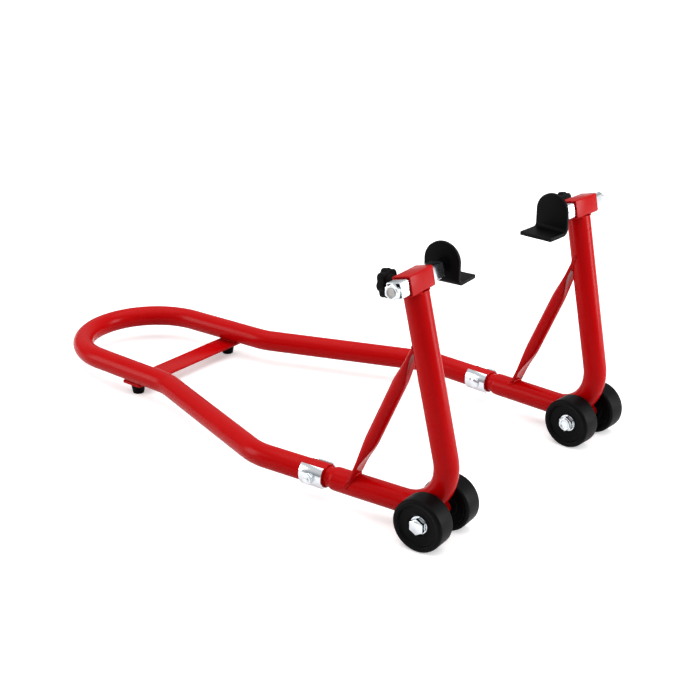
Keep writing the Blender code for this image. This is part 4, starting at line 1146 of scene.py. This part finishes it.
def build_paddle(name, side):
    """The coated L with its boss, the steel inside it and its shaft, the collar and the lock nut."""
    centre, outboard, _, _ = head_lines(name, side)
    face = joint_point(f"paddle_{name}_swivel")
    body = f"paddle_{name}"
    place = matrix_of(face, outboard, UP.cross(outboard))
    plate = bent_plate("plate", 0.0, PADDLE_EDGE_EASE, place)
    boss_profile = [
        (PADDLE_BOSS_BORE, -PADDLE_BOSS_SINK),
        (PADDLE_BOSS_BORE, PADDLE_BOSS_LENGTH),
        (PADDLE_BOSS_RADIUS, PADDLE_BOSS_LENGTH),
        *PADDLE_BOSS_FOOT,
    ]
    on_shaft = matrix_of(face, outboard, UP)
    boss = turned_mesh("boss", rounded_profile(boss_profile, PADDLE_BOSS_EASE), on_shaft, 64, closed=True)
    mesh = join_meshes("paddle", [plate, boss])
    fit_piece(f"paddle_pad_{name}", mesh, body, "black_rubber", [f"paddle_cover_{name}"])

    core = bent_plate("core", PADDLE_COVER + GAP, 0.0, place)
    tip = (centre - face).dot(outboard) + SLIDE_OUTER_END + SHAFT_TIP_REACH
    profile = [
        (0, tip - SHAFT_TIP_DISH),
        (SHAFT_DISH_RADII[0], tip - SHAFT_TIP_DISH),
        (SHAFT_DISH_RADII[1], tip),
        (SHAFT_RADIUS - SHAFT_TIP_CHAMFER[0], tip),
        (SHAFT_RADIUS, tip - SHAFT_TIP_CHAMFER[1]),
        *thread_profile(SHAFT_RADIUS, tip - THREAD_START, SHAFT_THREAD_TURNS),
    ]
    profile += [
        (SHAFT_RADIUS, profile[-1][1] - THREAD_PITCH / 2),
        (SHAFT_RADIUS, -SHAFT_ROOT),
        (0, -SHAFT_ROOT),
    ]
    shaft = turned_mesh("shaft", profile, on_shaft, 56)
    mesh = join_meshes("bracket", [core, shaft])
    fit_piece(f"paddle_steel_{name}", mesh, body, "bare_steel", [f"paddle_bracket_{name}"])

    bore = SHAFT_RADIUS + GAP
    collar = ring_profile(bore, SLIDE_SIZE / 2 - SLIDE_WALL - GAP, COLLAR_LENGTH, COLLAR_EASE)
    place = matrix_of(face + outboard * (PADDLE_BOSS_LENGTH + GAP), outboard, UP)
    mesh = turned_mesh("collar", collar, place, 72, closed=True)
    fit_piece(f"collar_ring_{name}", mesh, body, "zinc_plate", [f"shaft_collar_{name}"])
    seat = centre + outboard * (SLIDE_OUTER_END + GAP)
    mesh = lock_nut_mesh(seat, outboard, SHAFT_NUT, bore)
    fit_piece(f"shaft_locknut_{name}", mesh, body, "zinc_plate", [f"shaft_nut_{name}"])


def build_knob(name):
    """Star knob with a moulded hub and dished cap, on a stud with its thread."""
    out = joint_line(f"stud_{name}_travel")
    turn = joint_point(f"knob_{name}_turn")
    count = KNOB_LOBES * 24
    outline = []
    for i in range(count):
        a = 2 * math.pi * i / count
        wave = 0.5 - 0.5 * math.cos(KNOB_LOBES * a)
        r = KNOB_RADIUS - KNOB_LOBE_DEPTH * wave ** KNOB_LOBE_WAIST
        outline.append((r * math.cos(a), r * math.sin(a)))
    place = matrix_of(turn + out * KNOB_THICKNESS / 2, out, (1, 0, 0))
    star = slab_mesh("star", outline, KNOB_THICKNESS, KNOB_EDGE_EASE, place, 4)
    hub = rounded_profile(KNOB_HUB, KNOB_HUB_EASE)
    back = turned_mesh("hub", hub, matrix_of(turn, out, UP), 64, closed=True)
    cap = turned_mesh("cap", KNOB_CAP, matrix_of(turn + out * KNOB_THICKNESS, out, UP), 64, closed=True)
    mesh = join_meshes("knob", [star, back, cap])
    fit_piece(f"star_grip_{name}", mesh, f"knob_{name}", "black_plastic", [f"star_knob_{name}"])

    origin = turn - out * KNOB_STANDOFF
    start = SLIDE_SIZE / 2 + GAP
    end = KNOB_STANDOFF + STUD_IN_KNOB
    top = end - STUD_THREAD_START
    turns = math.ceil((top - start) / THREAD_PITCH) - 2
    dog, tip = STUD_DOG_RADII
    profile = [
        (0, end),
        (STUD_RADIUS - STUD_EASE[0], end),
        (STUD_RADIUS, end - STUD_EASE[1]),
        *thread_profile(STUD_RADIUS, top, turns),
        (dog, top - THREAD_PITCH * turns),
        (dog, start + STUD_DOG_EASE),
        (tip, start),
        (0, start),
    ]
    mesh = turned_mesh("stud", profile, matrix_of(origin, out, UP), 32)
    fit_piece(f"threaded_stud_{name}", mesh, f"stud_{name}", "zinc_plate", [f"knob_stud_{name}"])


# ---- nodes that keep their shape


def finish_kept_nodes():
    """Gives the frame's own visible nodes the material of their slot."""
    slots = {row["node"]: row["material_slot"] for row in frame["record"]["subparts"]}
    for name, node in frame["nodes"].items():
        node.data.materials.clear()
        node.data.materials.append(FINISHES[slots[name]])


# ---- floor, light and camera


def build_floor():
    """A white paper floor that lights the object a little less than it looks."""
    bm = bmesh.new()
    bmesh.ops.create_grid(bm, x_segments=1, y_segments=1, size=FLOOR_SIZE)
    floor = add_object("studio_floor", mesh_from(bm, "studio_floor"))
    paper = bpy.data.materials.new("pale_paper")
    paper.use_nodes = True
    nodes = paper.node_tree.nodes
    links = paper.node_tree.links
    path = nodes.new("ShaderNodeLightPath")
    grey = nodes.new("ShaderNodeMix")
    grey.data_type = "RGBA"
    grey.inputs["A"].default_value = (FLOOR_SEEN, FLOOR_SEEN, FLOOR_SEEN, 1)
    grey.inputs["B"].default_value = (FLOOR_LIT, FLOOR_LIT, FLOOR_LIT, 1)
    glow = product_node(nodes)
    glow.inputs[1].default_value = FLOOR_GLOW
    shader = nodes["Principled BSDF"]
    shader.inputs["Roughness"].default_value = 0.9
    shader.inputs["Specular IOR Level"].default_value = 0.1
    shader.inputs["Emission Color"].default_value = (1, 1, 1, 1)
    links.new(path.outputs["Is Diffuse Ray"], grey.inputs["Factor"])
    links.new(grey.outputs["Result"], shader.inputs["Base Color"])
    links.new(path.outputs["Is Camera Ray"], glow.inputs[0])
    links.new(glow.outputs["Value"], shader.inputs["Emission Strength"])
    floor.data.materials.append(paper)


def build_surroundings():
    """A white backdrop, which lights and mirrors as a room that is darker near the floor."""
    world = bpy.data.worlds.new("studio")
    bpy.context.scene.world = world
    world.use_nodes = True
    nodes = world.node_tree.nodes
    links = world.node_tree.links
    direction = nodes.new("ShaderNodeTexCoord")
    height = nodes.new("ShaderNodeSeparateXYZ")
    links.new(direction.outputs["Generated"], height.inputs["Vector"])
    rise = range_node(nodes, WORLD_RISE)
    rise.interpolation_type = "SMOOTHSTEP"
    rise.inputs["To Min"].default_value = WORLD_LOW
    rise.inputs["To Max"].default_value = WORLD_HIGH
    links.new(height.outputs["Z"], rise.inputs["Value"])
    path = nodes.new("ShaderNodeLightPath")
    strength = nodes.new("ShaderNodeMix")
    links.new(path.outputs["Is Camera Ray"], strength.inputs["Factor"])
    links.new(rise.outputs["Result"], strength.inputs["A"])
    strength.inputs["B"].default_value = 1.0
    backdrop = nodes["Background"]
    backdrop.inputs["Color"].default_value = (1, 1, 1, 1)
    links.new(strength.outputs["Result"], backdrop.inputs["Strength"])


def hang_lamp(name, lamp, place, aim):
    """Puts a lamp at its place, facing along aim."""
    holder = add_object(name, lamp)
    holder.location = place
    holder.rotation_euler = Vector(aim).to_track_quat("-Z", "Y").to_euler()


def build_light():
    """A broad overhead light and a soft panel on each side."""
    overhead = bpy.data.lights.new("overhead", "SUN")
    overhead.energy = OVERHEAD_POWER
    overhead.angle = OVERHEAD_SPREAD
    hang_lamp("overhead", overhead, (0, 0, 0), (0, 0, -1))
    for name, place, target, power in SIDE_LIGHTS:
        panel = bpy.data.lights.new(name, "AREA")
        panel.shape = "RECTANGLE"
        panel.size, panel.size_y = SIDE_LIGHT_SIZE
        panel.energy = power
        hang_lamp(name, panel, place, Vector(target) - Vector(place))
    bpy.context.scene.view_settings.view_transform = "Standard"


def build_camera():
    """The camera from its heading, drop and roll: its axes are right, up and back."""
    level = Vector((math.sin(CAMERA_HEADING), -math.cos(CAMERA_HEADING), 0))
    back = level * math.cos(CAMERA_DROP) + UP * math.sin(CAMERA_DROP)
    right = Vector((math.cos(CAMERA_HEADING), math.sin(CAMERA_HEADING), 0))
    up = back.cross(right)
    cos_r = math.cos(CAMERA_ROLL)
    sin_r = math.sin(CAMERA_ROLL)
    axes = (right * cos_r + up * sin_r, up * cos_r - right * sin_r, back)
    lens = bpy.data.cameras.new("camera")
    lens.lens = CAMERA_LENS
    lens.sensor_width = CAMERA_SENSOR
    lens.clip_end = CAMERA_REACH
    camera = add_object("camera", lens)
    camera.matrix_world = Matrix.Translation(CAMERA_PLACE) @ Matrix(axes).transposed().to_4x4()
    bpy.context.scene.camera = camera


# ---- assembly

build_handle()
build_strap()
build_feet()
for side_name, side_sign in SIDES:
    build_arm(side_name, side_sign)
    build_brace(side_name, side_sign)
    build_clamp(side_name, side_sign)
    build_wheels(side_name, side_sign)
    build_socket(side_name, side_sign)
    build_slide(side_name, side_sign)
    build_paddle(side_name, side_sign)
    build_knob(side_name)
finish_kept_nodes()
build_floor()
build_surroundings()
build_light()
build_camera()
